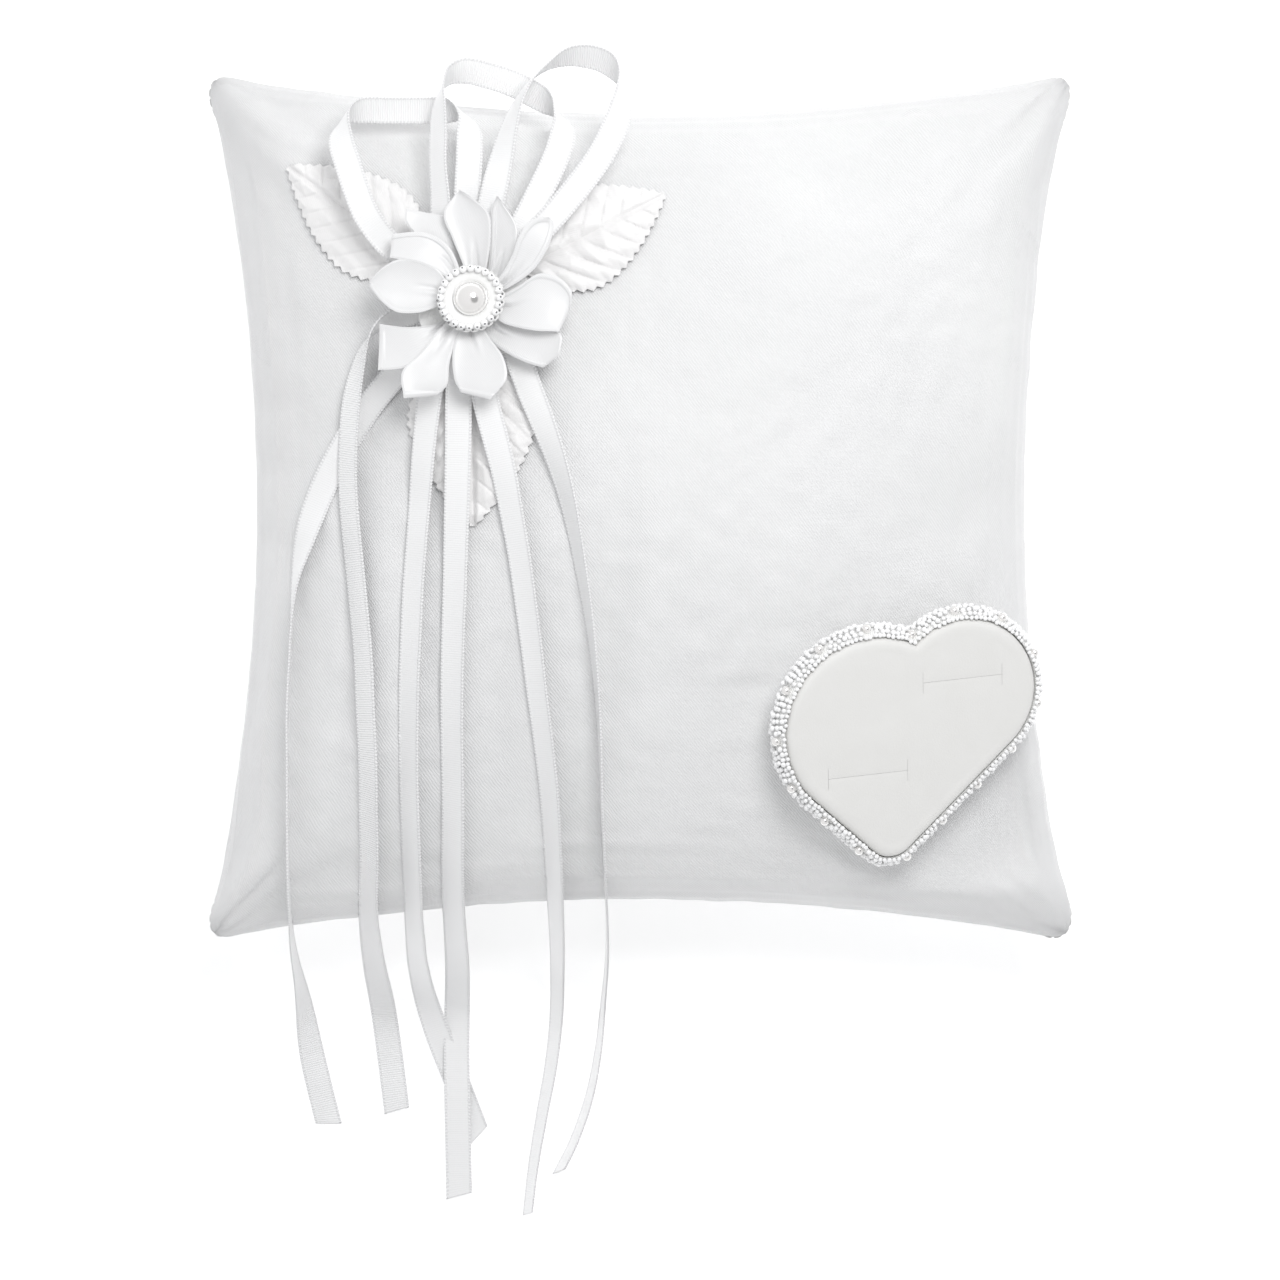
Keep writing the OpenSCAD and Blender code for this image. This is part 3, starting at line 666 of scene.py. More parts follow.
cushion_points, cushion_top = make_cushion()
cushion_tree = BVHTree.FromPolygons(cushion_points.tolist(), cushion_faces.tolist())


def surface(x, y, other=None):
    """Height of the cushion's front at a point, or the other value beside it."""
    hit = cushion_tree.ray_cast(Vector((float(x), float(y), 300.0)), Vector((0, 0, -1)))[0]
    return other if hit is None else hit.z


def surfaces(x, y, below=0.0):
    flat = [surface(a, b, below) for a, b in zip(np.ravel(x), np.ravel(y))]
    return np.array(flat).reshape(np.shape(x))


def rest_height(x, y):
    """What a tail lies on: the cushion, a drop past its lower edge, then the table."""
    s = (edge_y(x) + HANG_IN - y) / (HANG_IN + HANG_OUT)
    if s <= 0:
        return surface(x, y, float(top_z(x, y)))
    if s >= 1:
        return 0.0
    start_y = edge_y(x) + HANG_IN
    start = surface(x, start_y, float(top_z(x, start_y)))
    fall = slope(x, start_y)[1] * (HANG_IN + HANG_OUT)
    return start * (1 + 2 * s) * (1 - s) ** 2 - fall * s * (1 - s) ** 2


# ---------------------------------------------------------------- ribbons
LOOPS = {
    "loop_left": [
        [-45, 50, -5.2, 0], [-52, 54.5, -4.5, 0], [-57.5, 59.5, -3.8, 0], [-61.5, 65, -3.5, 0],
        [-64, 71, -4.5, 0], [-66, 77, -6, 0], [-67.5, 82, -8, -15], [-67.5, 86, -10.5, -60],
        [-66, 88.5, -13, -110], [-62.5, 89.5, -14.5, -165], [-57, 89.5, -15, -180],
        [-50, 89.5, -15, -180], [-44.5, 89.5, -14.5, -165], [-41, 89, -12.5, -110],
        [-39, 87, -10, -60], [-38.5, 83, -7.5, -15], [-38.5, 78, -5.5, 0], [-38.8, 72, -4.5, 0],
        [-39, 65, -4.5, 0], [-38.5, 58, -5, 0], [-38, 52, -5.6, 0]],
    "loop_middle": [
        [-41.5, 51, -4.2, 0], [-43.5, 57, -3.5, -10], [-44.5, 63, -3, -30], [-45, 70, -3, -45],
        [-45.5, 77, -4, -50], [-45.5, 84, -6, -50], [-45.5, 90, -8.5, -60], [-45, 94.5, -11, -85],
        [-43, 97.5, -13.5, -125], [-39.5, 98.5, -15, -165], [-34.5, 97.5, -16, -180],
        [-28.5, 95.5, -16, -180], [-23, 92.5, -15, -165], [-19.5, 90, -12.5, -115],
        [-17.5, 87, -9.5, -60], [-17.5, 83, -7, -15], [-19, 78, -5.5, 0], [-21.5, 72.5, -4.5, 0],
        [-24.5, 66.5, -4, 0], [-28, 60, -4, 0], [-31.5, 54, -4.6, 0]],
    "loop_right": [
        [-36.5, 52, -3.4, 0], [-35.5, 58, -2.8, 0], [-34, 65, -2.4, 0], [-32.5, 72, -2.5, -10],
        [-31, 78.5, -3.5, -30], [-29.5, 85, -5, -50], [-27.5, 91, -7, -70], [-24.5, 96, -9.5, -85],
        [-20.5, 99.5, -11.5, -100], [-16, 101.5, -12.5, -130], [-11.5, 101.5, -12.5, -150],
        [-7.5, 100, -11.5, -145], [-5, 97, -9.5, -110], [-4, 93, -7.5, -65], [-4.5, 88.5, -5.5, -25],
        [-6.5, 83, -4, 0], [-9.5, 77.5, -3, 0], [-13.5, 72, -2.5, 0], [-18, 66.5, -2.4, 0],
        [-23, 61, -2.6, 0], [-28, 56, -3, 0], [-32, 52, -3.6, 0]],
}
TAILS = {
    "tail_1": [
        [-46, 41, 2.6, 0], [-50, 35.5, 2.8, 0], [-54.5, 30, 2.4, 0], [-60, 23.5, 1.5, 0],
        [-65.5, 15.5, 1, 0], [-70, 7.5, 0.8, 0], [-73.5, -0.5, 1, 15], [-76, -8, 2.2, 40],
        [-78, -16, 3, 70], [-79, -25, 3.3, 85], [-79.5, -36, 3.4, 90], [-80, -48, 3.4, 90],
        [-80, -60, 3.4, 90], [-80, -72, 3.5, 90], [-80, -83, 3.8, 90], [-80, -92, 4, 90],
        [-80, -100, 4, 95], [-79.5, -108, 3.6, 105], [-78.5, -117, 2.8, 130],
        [-77, -127, 1.6, 160], [-75, -136, 0.6, 180], [-73, -144, 0.4, 180]],
    "tail_2": [
        [-47, 44, 4.2, 0], [-53, 42.5, 4.8, -30], [-58.5, 40, 4.8, -70], [-62, 35.5, 4.4, -105],
        [-64, 29, 4, -125], [-65.2, 22, 3.6, -135], [-65.8, 14, 3, -135], [-66, 6, 2.7, -135],
        [-65.5, -3, 2.6, -135], [-64.5, -13, 2.6, -135], [-63.5, -23, 2.6, -135], [-62.5, -34, 2.6, -135],
        [-62, -46, 2.6, -135], [-61.5, -58, 2.6, -135], [-61.5, -70, 2.8, -135], [-61.5, -81, 3, -135],
        [-62, -90, 3, -138], [-62, -98, 2.8, -145], [-61.5, -107, 2.2, -155], [-60, -118, 1.2, -170],
        [-58.5, -129, 0.5, -180], [-57, -141, 0.4, -180]],
    "tail_3": [
        [-44, 39.5, 3.4, 0], [-45.5, 33, 3.8, 5], [-47, 26, 3.8, 15], [-48, 18, 3.6, 25],
        [-48.8, 10, 3.2, 30], [-49.5, 1, 2.6, 35], [-50.2, -8, 2.5, 38], [-51, -18, 2.5, 38],
        [-51.5, -28, 2.5, 38], [-52, -39, 2.5, 40], [-52.2, -50, 2.6, 42], [-52.2, -61, 2.6, 45],
        [-52, -72, 2.8, 45], [-51.8, -82, 3, 45], [-51.7, -90, 3, 45], [-51.7, -98, 3, 40],
        [-51.5, -106, 2.6, 35], [-50, -115, 2, 25], [-47, -124, 1.2, 10], [-43, -134, 0.4, 0],
        [-38, -147, 0.4, 0]],
    "tail_4": [
        [-40.5, 37, 4.2, 0], [-40.5, 30, 4.4, 0], [-40.7, 22, 4.4, 0], [-40.8, 13, 4.2, 10],
        [-41, 4, 3.6, 15], [-41.3, -6, 2.6, 20], [-41.6, -17, 2, 25], [-42, -28, 2, 28],
        [-42.3, -39, 2, 30], [-42.4, -50, 2.1, 32], [-42.3, -61, 2.2, 33], [-42.3, -72, 2.4, 33],
        [-42.5, -81, 2.6, 30], [-42.6, -89, 2.6, 30], [-42.5, -97, 2.4, 28], [-42.5, -106, 2, 20],
        [-42.8, -116, 1.6, 10], [-43, -126, 1.4, 0], [-42.8, -138, 1.5, 0], [-42.6, -150, 0.9, 0],
        [-42.4, -161, 0.4, 0]],
    "tail_5": [
        [-36, 38, 5, 0], [-35.5, 31, 5.2, 0], [-34.5, 23, 5.2, 5], [-32.5, 15, 4.8, 10],
        [-30.5, 7, 4, 20], [-29, -1, 3, 28], [-27.2, -11, 2.5, 33], [-25.8, -21, 2.4, 35],
        [-24.5, -31, 2.4, 37], [-23.2, -42, 2.5, 40], [-21.8, -53, 2.6, 43], [-20.6, -64, 2.8, 45],
        [-19.9, -75, 3, 48], [-19.5, -84, 3.2, 50], [-19.3, -92, 3.3, 52], [-19.2, -100, 3.3, 55],
        [-19.3, -109, 3.2, 58], [-19.6, -119, 3.2, 60], [-20.8, -130, 3.2, 62],
        [-23, -142, 3.2, 65], [-25, -154, 3.2, 68], [-26.3, -165, 3.2, 70]],
    "tail_6": [
        [-31, 40.5, 3.8, 0], [-27.5, 33, 4.4, 5], [-24.5, 25, 4.4, 10], [-21.5, 17.5, 4, 25],
        [-18.8, 10, 3.4, 40], [-16.5, 2, 3.2, 52], [-14.8, -6, 3.2, 60], [-13.2, -15, 3.2, 66],
        [-11.6, -25, 3.3, 72], [-10.3, -36, 3.3, 78], [-9.4, -47, 3.4, 82], [-8.9, -58, 3.4, 85],
        [-8.6, -69, 3.5, 87], [-8.1, -79, 3.6, 88], [-7.7, -88, 3.7, 88], [-7.5, -97, 3.6, 86],
        [-7.7, -106, 3.4, 84], [-8.6, -116, 3.3, 80], [-9.8, -127, 3.3, 76], [-12, -138, 3.3, 73],
        [-15.5, -148, 3.3, 72], [-19, -155, 3.3, 72]],
}
# Slant of each tail's cut end, as a share of the width.
CUTS = {"tail_1": 0.25, "tail_2": -0.15, "tail_3": 0.5, "tail_4": 0.25, "tail_5": 0.2, "tail_6": 0.45}
STATION = 0.39
# Half of a ribbon's section, from its middle to its edge: place across, and half thickness.
SECTION = [(0, 0.15), (0.35, 0.15), (0.68, 0.15), (0.82, 0.15), (0.87, 0.2), (0.94, 0.21), (0.985, 0.15)]


def make_ribbon(name, rows, cut=0.0, clear=True):
    """A flat ribbon along X, Y, Z and roll: satin above, ribs below, and beaded edges."""
    path = spline(rows, STATION)
    centre, roll = path[:, :3], np.radians(path[:, 3])
    t = unit(np.gradient(centre, axis=0))
    level = unit(np.cross(t, [0, 0, 1.0]))
    w = np.cos(roll)[:, None] * level + np.sin(roll)[:, None] * np.cross(t, level)
    n = np.cross(w, t)
    half = RIBBON_W / 2
    upper = [(-a, h) for a, h in SECTION[:0:-1]] + SECTION
    ring_c = [1.0] + [a for a, _ in upper[::-1]] + [-1.0] + [a for a, _ in upper]
    ring_h = [0.0] + [h for _, h in upper[::-1]] + [0.0] + [-h for _, h in upper]
    ring_c, ring_h = np.array(ring_c), np.array(ring_h)
    count = len(centre)
    k = np.arange(count)
    picot = np.where(k % 2 == 0, 0.11, -0.06)
    out = np.where(np.abs(ring_c) > 0.93, np.sign(ring_c), 0)
    along = k * np.linalg.norm(np.diff(centre, axis=0), axis=1).mean()
    cup = 0.22 * np.sin(along / 23.0 + len(name) * 1.3)[:, None] * (1 - ring_c**2)[None]
    tip = np.clip((along - along[-1] + 4) / 4, 0, 1)
    ring = (
        centre[:, None]
        + w[:, None] * (ring_c[None, :, None] * half + (out[None] * picot[:, None])[..., None])
        + n[:, None] * (ring_h[None] + cup)[..., None]
        + t[:, None] * (tip[:, None] * ring_c[None] * cut * half)[..., None]
    )
    if clear:
        floor = surfaces(ring[..., 0], ring[..., 1], 0.0)
        ring[..., 2] = np.maximum(ring[..., 2], floor + 0.12 + ring_h[None])
    points, faces = ring_faces(ring)
    uv = np.stack(np.broadcast_arrays(ring_c * half, along[:, None]), -1).reshape(-1, 2)
    sides = len(ring_c)
    is_back = np.arange(sides) >= sides // 2
    index = np.concatenate([np.tile(is_back.astype(int), count - 1), [0, 0]])
    obj = piece(name + "_ribbon", points, faces, [ribbon_face, ribbon_back],
                uv=uv, index=index)
    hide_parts(name)


for name, rows in TAILS.items():
    make_ribbon(name, [[x, y, rest_height(x, y) + lift, roll] for x, y, lift, roll in rows], CUTS[name])
for name, rows in LOOPS.items():
    make_ribbon(name, [[x, y, CROWN_Z + z, roll] for x, y, z, roll in rows], clear=False)


# ---------------------------------------------------------------- leaves
VEIN_PITCH, LEAF_T = 5.0, 0.32


def tooth(length, pitch):
    """A zigzag from 0 to 1 with that pitch."""
    return 1 - np.abs((length / pitch) % 1 * 2 - 1)


def make_leaf(name, root, tip, half, puffs):
    """A pressed satin leaf with a midrib, slanting veins and pinked edges. puffs are the heights between
    the veins on the side left of its direction, and on the right."""
    root, tip = np.array(root, float), np.array(tip, float)
    along = tip - root
    size = np.linalg.norm(along)
    side = np.array([-along[1], along[0]]) / size
    s = np.linspace(0, 1, 170)[:, None]
    t = np.linspace(-1, 1, 61)[None]
    t = np.sign(t) * np.abs(t) ** 0.85
    width = half * np.where(s < 0.4, np.sin(np.pi / 2 * s / 0.4) ** 0.75,
                            1 - (np.maximum(s - 0.4, 0) / 0.6) ** 1.7) + 0.5
    steps = np.hypot(np.diff(s[:, 0]) * size, np.diff(width[:, 0]))
    edge = np.concatenate([[0], np.cumsum(steps)])[:, None]
    teeth = 0.85 * tooth(edge, 2.3) * smooth(s, 0.04, 0.15)
    reach = t * (width + teeth * np.abs(t) ** 6 - 0.4)
    x = root[0] + s * along[0] + reach * side[0]
    y = root[1] + s * along[1] + reach * side[1]
    across = np.abs(reach)
    vein = (s * size - 0.75 * across - 0.012 * across**2) / VEIN_PITCH
    off = np.abs((vein + 0.5) % 1 - 0.5) * VEIN_PITCH
    puff = (np.where(t > 0, puffs[0], puffs[1]) * np.sin(np.pi * (vein % 1)) ** 0.8
            * smooth(across, 0.3, 3) * (1 - 0.75 * np.abs(t) ** 5))
    groove = -0.28 * np.exp(-((off / 0.32) ** 2)) * smooth(across, 0, 1.5) * (1 - np.abs(t) ** 8)
    rib = -0.5 * np.exp(-((reach / 0.45) ** 2)) + 0.25 * np.exp(-(((across - 1.1) / 0.6) ** 2))
    crinkle = np.array([[fbm((a / 2.2, b / 2.2, 0.9), 7.7, 2) for a, b in zip(ra, rb)]
                        for ra, rb in zip(s * size + 0 * t, reach)])
    arch = 1.4 * np.sin(np.pi * np.abs(t)) * np.sin(np.pi * s)
    body = 0.7 + arch + puff + groove + rib * smooth(s, 0, 0.1) + 0.09 * crinkle
    height = surfaces(x, y, 20.0) + np.maximum(body, 0.45)
    points, faces = slab(np.stack([x, y, height + LEAF_T], -1), np.stack([x, y, height], -1))
    uv = np.stack([reach + 0 * s, s * size + 0 * t], -1).reshape(-1, 2)
    obj = piece(name + "_satin", points, faces, [leaf_satin], uv=np.concatenate([uv, uv]),
                sharp=60)
    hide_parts(name)


make_leaf("leaf_left", (-48, 53), (-80, 77), 11, (0.12, 0.5))
make_leaf("leaf_right", (-27, 53), (5.5, 70), 11.5, (0.2, 0.8))
make_leaf("leaf_bottom", (-38, 36), (-37.5, -5), 14, (0.35, 0.35))

# ---------------------------------------------------------------- the flower
PETAL_T = 0.34
# Each petal's layer, cup, tilt, then its two edges from the root to the end, seen from above in
# millimetres from the flower's middle: the edge anticlockwise of it first. The last list tells
# which rims are turned in: that edge, the other one, and the end.
PETALS = [
    (1, 1.8, -0.3,
     [(-4, 0.5), (-6.8, -0.6), (-9, -1.8), (-12.2, -2.8), (-16.8, -2.7), (-20.2, -0.4), (-23.2, 3.3)],
     [(-4, 2.0), (-6, 4.8), (-8.2, 7.4), (-11.4, 8.9), (-16.4, 9.2), (-20, 7.5), (-23.3, 4.3)], (1, 0, 0)),
    (1, 1.2, 0.5, [(-4, 2.6), (-6.8, 6), (-11.4, 8.2), (-15.2, 9), (-18.7, 9.7)],
     [(-2.6, 4), (-3.3, 8), (-5.2, 11.9), (-8.3, 14.6), (-12.2, 15.7), (-18.5, 15.2)], (0, 1, 0)),
    (0, 1.0, 0.4, [(-3, 3.6), (-7, 9), (-12, 14), (-15.6, 18.3), (-15.6, 21.3)],
     [(-1.5, 4.2), (-1.2, 7.5), (-2.9, 11.9), (-5.2, 16.5), (-6.9, 20.0)], (0, 1, 0)),
    (1, 1.9, -0.5, [(-1.4, 4.3), (-2, 7.5), (-4.6, 14), (-6.7, 19.6), (-4.0, 24.6)],
     [(1.6, 4.2), (2.9, 7), (4, 13.5), (3.7, 19.2), (0.4, 22.6), (-3.2, 25)], (0, 0, 0)),
    (0, 1.2, -0.5, [(1.8, 4), (3.1, 7.3), (3.6, 14.2), (3.7, 20.8), (4.7, 24.1)],
     [(3.6, 3.2), (6.3, 6), (9.2, 11.9), (9.7, 16.8), (7.4, 21), (5.1, 24)], (1, 0, 0)),
    (1, 1.2, 0.6, [(3.2, 3.6), (6.0, 5.4), (8.8, 9.8), (10.9, 15), (13.6, 18), (17.2, 18.5)],
     [(4.6, 1.8), (8.4, 3.2), (13.4, 6.7), (16.5, 11.2), (18, 15.6), (17.9, 18.0)], (1, 1, 0)),
    (1, 1.5, -0.2, [(4.4, 1.2), (7.5, 1.8), (10.9, 3.5), (15.0, 5.9), (19.6, 4.9), (22.4, 1.9), (22.3, -1.2)],
     [(4.2, -1.4), (6.3, -4.6), (10.2, -6.2), (14.8, -7.2), (19.7, -7.3)], (1, 0, 0)),
    (0, 1.0, 0.3, [(4.2, -1.8), (8, -4.5), (14, -6.4), (19.9, -7.4), (19.8, -12.2)],
     [(2, -4), (2.6, -7.5), (7.1, -11.2), (11.7, -13.6), (15.9, -14.9)], (0, 1, 0)),
    (1, 1.4, 0.3, [(1.6, -4), (4, -8.4), (7.3, -13), (8.2, -17.9), (4.7, -22.7)],
     [(-1.2, -4.3), (-3.4, -8), (-4.2, -12.7), (-3.6, -18), (-2.1, -20.9)], (0, 0, 1)),
    (1, 1.2, -0.4, [(-1, -4.2), (-3.4, -8.5), (-4.9, -14.5), (-5.3, -19), (-7.5, -21.4)],
     [(-3.6, -2.8), (-7, -6), (-11.2, -11.8), (-15.3, -16.4), (-14.8, -22.4)], (0, 0, 1)),
    (0, 1.0, 0.4, [(-3.6, -2.8), (-7.4, -6.6), (-10.4, -11), (-14.8, -14.8), (-21.1, -15.6)],
     [(-4.4, -1), (-7.6, -4.4), (-14.5, -5.6), (-21.2, -4.8)], (0, 0, 1)),
]


def edge_line(points, count):
    """Points evenly spread along a smooth line through the given ones."""
    line = spline(np.column_stack([points, np.zeros(len(points))]), 0.1)[:, :2]
    length = run_length(line)
    return points_at(np.linspace(0, length[-1], count), length, line)


def make_petal(number, layer, cup, tilt, left, right, hems):
    """A folded ribbon petal: pinched at the root, cupped, with a turned hem along some of its rims."""
    rows, cols = 76, 53
    s = np.linspace(0, 1, rows)[:, None]
    t = np.linspace(-1, 1, cols)[None]
    t = np.sign(t) * np.abs(t) ** 0.75
    a, b = edge_line(left, rows), edge_line(right, rows)
    plan = a[:, None] * (1 + t[..., None]) / 2 + b[:, None] * (1 - t[..., None]) / 2
    half = np.linalg.norm(a - b, axis=1)[:, None] / 2
    size = np.linalg.norm((a[-1] + b[-1]) - (a[0] + b[0])) / 2
    # Distances in from the two edges and the end.
    insets = ((1 - t) * half, (1 + t) * half, (1 - s) * size + 0 * t)
    hem = np.zeros_like(plan[..., 0])
    for inset, turned_in in zip(insets, hems):
        if turned_in:
            hem = np.maximum(hem, smooth(-inset, -1.25, -1.0))
    soft = np.minimum(np.minimum(insets[0], insets[1]), insets[2])
    across = t * half
    dart = smooth(-s, -0.55, 0) * (0.55 * np.exp(-(((across - 0.8) / 0.7) ** 2))
                                   - 0.9 * np.exp(-(((across + 0.3) / 0.5) ** 2)))
    belly = 0.9 * np.sin(np.pi * s**1.2) * (1 - t * t)
    z = (
        1.15 + 2.1 * layer + 2.6 * s**1.6 - 0.9 * s**5 + belly
        + cup * np.abs(t) ** 2.4 * np.sin(np.pi * np.clip(s * 0.86 + 0.05, 0, 1)) ** 0.8
        + tilt * t * s * 1.8 + 0.3 * hem + dart - 0.3 * smooth(-soft, -0.5, 0)
        + 0.22 * np.sin(5.2 * s + number * 1.7 + 1.6 * t) * smooth(s, 0.2, 0.6)
    )
    z = np.maximum(z, 1.05 + 0.2 * layer)

    def place(height):
        local = np.concatenate([plan, (height + FLOWER_LIFT)[..., None]], -1)
        return on_flower(local.reshape(-1, 3)).reshape(local.shape)

    points, faces = slab(place(z + PETAL_T), place(z))
    uv = np.stack([across, np.broadcast_to(s * size, across.shape)], -1).reshape(-1, 2)
    name = f"petal_{number}"
    obj = piece(name + "_satin", points, faces, [petal_satin], uv=np.concatenate([uv, uv]),
                sharp=55)
    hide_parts(name)


def felt_disc():
    """The round felt base under the flower, with an uneven cut edge."""
    a = np.linspace(0, TAU, 97)[:-1]
    rows = []
    for r, z in ((0.01, 5.0), (12.2, 5.0), (12.9, 5.2), (13.0, 5.5), (12.9, 5.85), (12.2, 6.0), (0.01, 6.0)):
        wob = 1 + 0.008 * np.sin(a * 7 + 1) + 0.006 * np.sin(a * 17)
        rows.append(np.stack([r * wob * np.cos(a), r * wob * np.sin(a), np.full_like(a, z)], -1))
    ring = np.array([on_flower(row) for row in rows])
    return ring_faces(ring)


points, faces = felt_disc()
base = piece("flower_base_felt", points, [f[::-1] for f in faces], [felt], sharp=50)
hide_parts("flower_base")
for k, row in enumerate(PETALS):
    make_petal(k + 1, *row)


def flower_tacks():
    """Pairs of threads from the cushion up into the felt base."""
    parts = []
    for angle in (20, 200, 340):
        a = math.radians(angle)
        for turn in (-0.35, 0.35):
            out = 10.5 + turn
            foot = on_flower([[out * math.cos(a), out * math.sin(a), z] for z in np.linspace(0.5, 5.0, 8)])
            foot[:, 0] += turn * np.sin(np.linspace(0, math.pi, 8))
            parts.append(tube(foot, 0.22))
    return join(parts)


def with_length(points, sides=8):
    """Cloth coordinates for tubes: round the tube, and by height."""
    k = np.arange(len(points))
    return np.stack([(k % sides) * 0.25, np.linalg.norm(points - points[0], axis=1)], -1)


points, faces = flower_tacks()
tacks = piece("flower_tacks", points, faces, [thread], uv=with_length(points))
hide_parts("flower_stitches")

# The bezel's own solids stay. A scalloped collar, and the linings of its beads, darkened as a painted dark
# reflection, are added.
BEZEL_Z = FLOWER_LIFT + 6.2
BEAD_RING = (15 - 1.7) / 2


def bead_linings():
    """The linings seen through the bezel's beads, over the CAD's rows of them, coloured dark as a painted
    reflection.
    """
    parts = []
    for k in range(24):
        a = TAU * k / 24
        down = 0.5 - 0.5 * math.sin(a)
        for row in range(1 + (down > 0.42)):
            out = 0.25 + 0.55 * row + 0.25 * down
            lift = math.sqrt(max(0.05, 0.85**2 - (out * 0.75) ** 2))
            away, turn = BEAD_RING + out * 0.75, a + 0.1 * row
            height = BEZEL_Z + 1.4 + 0.85 + lift - 0.1
            centre = np.array([away * math.cos(turn), away * math.sin(turn), height])
            p, f = ball((0, 0, 0), 0.27, 10, 6, (1, 1, 0.6))
            parts.append((on_flower(p + centre), f))
    return join(parts)


points, faces = bead_linings()
piece("bezel_bead_linings", points, faces, [bead_lining_painted_reflection])


def collar():
    """The bezel's scalloped collar, as a closed hoop."""
    a = np.linspace(0, TAU, 289)[:-1]
    scallop = 0.32 * np.abs(np.sin(a * 12)) ** 0.7
    rows = []
    for r, z, share in ((4.15, 1.42, 0), (4.3, 1.55, 0), (5.2, 1.5, 0), (5.75, 1.62, 0.2), (6.2, 1.45, 0.3),
                        (6.7, 1.2, 0.7), (7.2, 1.35, 1.0), (7.35, 0.9, 1.0), (6.9, 0.2, 0.6), (6.0, 0.02, 0)):
        out = r + scallop * share
        rows.append(np.stack([out * np.cos(a), out * np.sin(a), np.full_like(a, z + BEZEL_Z)], -1))
    rows.append(rows[0] * np.array([1, 1, 0]) + np.array([0, 0, BEZEL_Z + 0.9]))
    ring = np.array([on_flower(row) for row in rows])
    return ring.reshape(-1, 3), hoop_faces(ring)[:, ::-1]


points, faces = collar()
piece("bezel_collar", points, faces, [bezel_plastic], sharp=50)

# ---------------------------------------------------------------- the heart pad
LOBE_L, LOBE_L_R = np.array([-8.5, 2.5]), 21.0
LOBE_R, LOBE_R_R = np.array([12.4, 10.8]), 17.0
POINT_C, POINT_R = np.array([-2.2, -21.5]), 6.0
SLITS = [(11.3, 14.3), (-9.4, -8.0)]
SLIT_TURN = math.radians(6)
# Half the length of a slit, half the length of its end strokes, and half the width of the cut.
SLIT_HALF, SLIT_END, CUT_HALF = 9.5, 2.5, 0.02
PEARL_PITCH = 11
GAP, BACKING_T, HEART_T = 0.15, 1.0, 8.0
TAPE_Z, TAPE_H, TAPE_T = 1.8, 4.5, 0.6


def angle_of(v):
    """A plan vector's direction in degrees."""
    return math.degrees(math.atan2(v[1], v[0]))


def flank_angle(lobe, r, side):
    """Where the straight flank leaves a lobe and meets the point's arc."""
    d = lobe - POINT_C
    return angle_of(d) + side * math.degrees(math.acos((POINT_R - r) / np.linalg.norm(d)))


def heart_outline(grow, count):
    """Points evenly spaced round the heart, clockwise from its notch, and their outward directions."""
    d = LOBE_R - LOBE_L
    apart = np.linalg.norm(d)
    r = LOBE_L_R + grow
    a = (d @ d + r * r - (LOBE_R_R + grow) ** 2) / (2 * apart)
    notch = LOBE_L + a * d / apart + math.sqrt(r * r - a * a) * np.array([-d[1], d[0]]) / apart
    right, left = flank_angle(LOBE_R, LOBE_R_R, -1), flank_angle(LOBE_L, LOBE_L_R, 1)
    arcs = [
        (LOBE_R, LOBE_R_R + grow, angle_of(notch - LOBE_R), right),
        (POINT_C, POINT_R + grow, right, left - 360),
        (LOBE_L, LOBE_L_R + grow, left, angle_of(notch - LOBE_L)),
    ]
    points = []
    for c, radius, first, last in arcs:
        angle = np.radians(np.linspace(first, last, 400))
        points.append(c + radius * np.stack([np.cos(angle), np.sin(angle)], -1))
    points = np.concatenate(points)
    closed = np.concatenate([points, points[:1]])
    length = run_length(closed)
    p = points_at(np.linspace(0, length[-1], count + 1)[:-1], length, closed)
    t = unit(np.roll(p, -1, axis=0) - np.roll(p, 1, axis=0))
    return p, np.stack([-t[:, 1], t[:, 0]], -1), length[-1]


def slit_distance(x, y):
    """Distance from the nearest cut, across each of its three strokes."""
    best = np.full(np.shape(x), 99.0)
    c, s = math.cos(SLIT_TURN), math.sin(SLIT_TURN)
    for cx, cy in SLITS:
        lx, ly = c * (x - cx) + s * (y - cy), -s * (x - cx) + c * (y - cy)
        best = np.minimum(best, np.hypot(np.maximum(np.abs(lx) - SLIT_HALF, 0), ly))
        for end in (-SLIT_HALF, SLIT_HALF):
            best = np.minimum(best, np.hypot(lx - end, np.maximum(np.abs(ly) - SLIT_END, 0)))
    return best


def foam_mesh():
    """The pad as rings that shrink towards its middle, with rounded edges."""
    z0 = GAP + BACKING_T
    count = 260
    profile = [(-1.2, 0.0), (-0.25, 0.25), (0, 1.0), (0.12, 2.4), (0.18, 4.0), (0.12, 5.6), (0, 6.6),
               (-0.25, 7.3), (-0.75, 7.78), (-1.5, 7.97), (-2.4, HEART_T)]
    p, outward, _ = heart_outline(0, count)
    rings = [np.column_stack([p + outward * grow, np.full(count, z + z0)]) for grow, z in profile]
    base_ring = rings[-1][:, :2]
    centre = np.array([0.0, -1.0])
    top = []
    for k in np.linspace(0, 1, 46)[1:-1]:
        q = base_ring + (centre - base_ring) * k
        off = slit_distance(q[:, 0], q[:, 1])
        dip = -0.07 * np.exp(-((off / 0.4) ** 2)) - 0.08 * np.exp(-((off / 2.2) ** 2))
        wave = [0.12 * fbm((a / 14, b / 14, 0.5), 12.3, 2) for a, b in q]
        top.append(np.column_stack([q, HEART_T + z0 + dip + np.array(wave)]))
    ring = np.array(rings + top)
    points, faces = ring_faces(ring)
    middle = len(points)
    faces = [f[::-1] for f in faces[:-1]]
    last = np.arange(middle - count, middle)
    points = np.concatenate([points, [[*centre, HEART_T + z0]]])
    faces += [[int(a), int(b), middle][::-1] for a, b in zip(last, np.roll(last, -1))]
    return points, faces


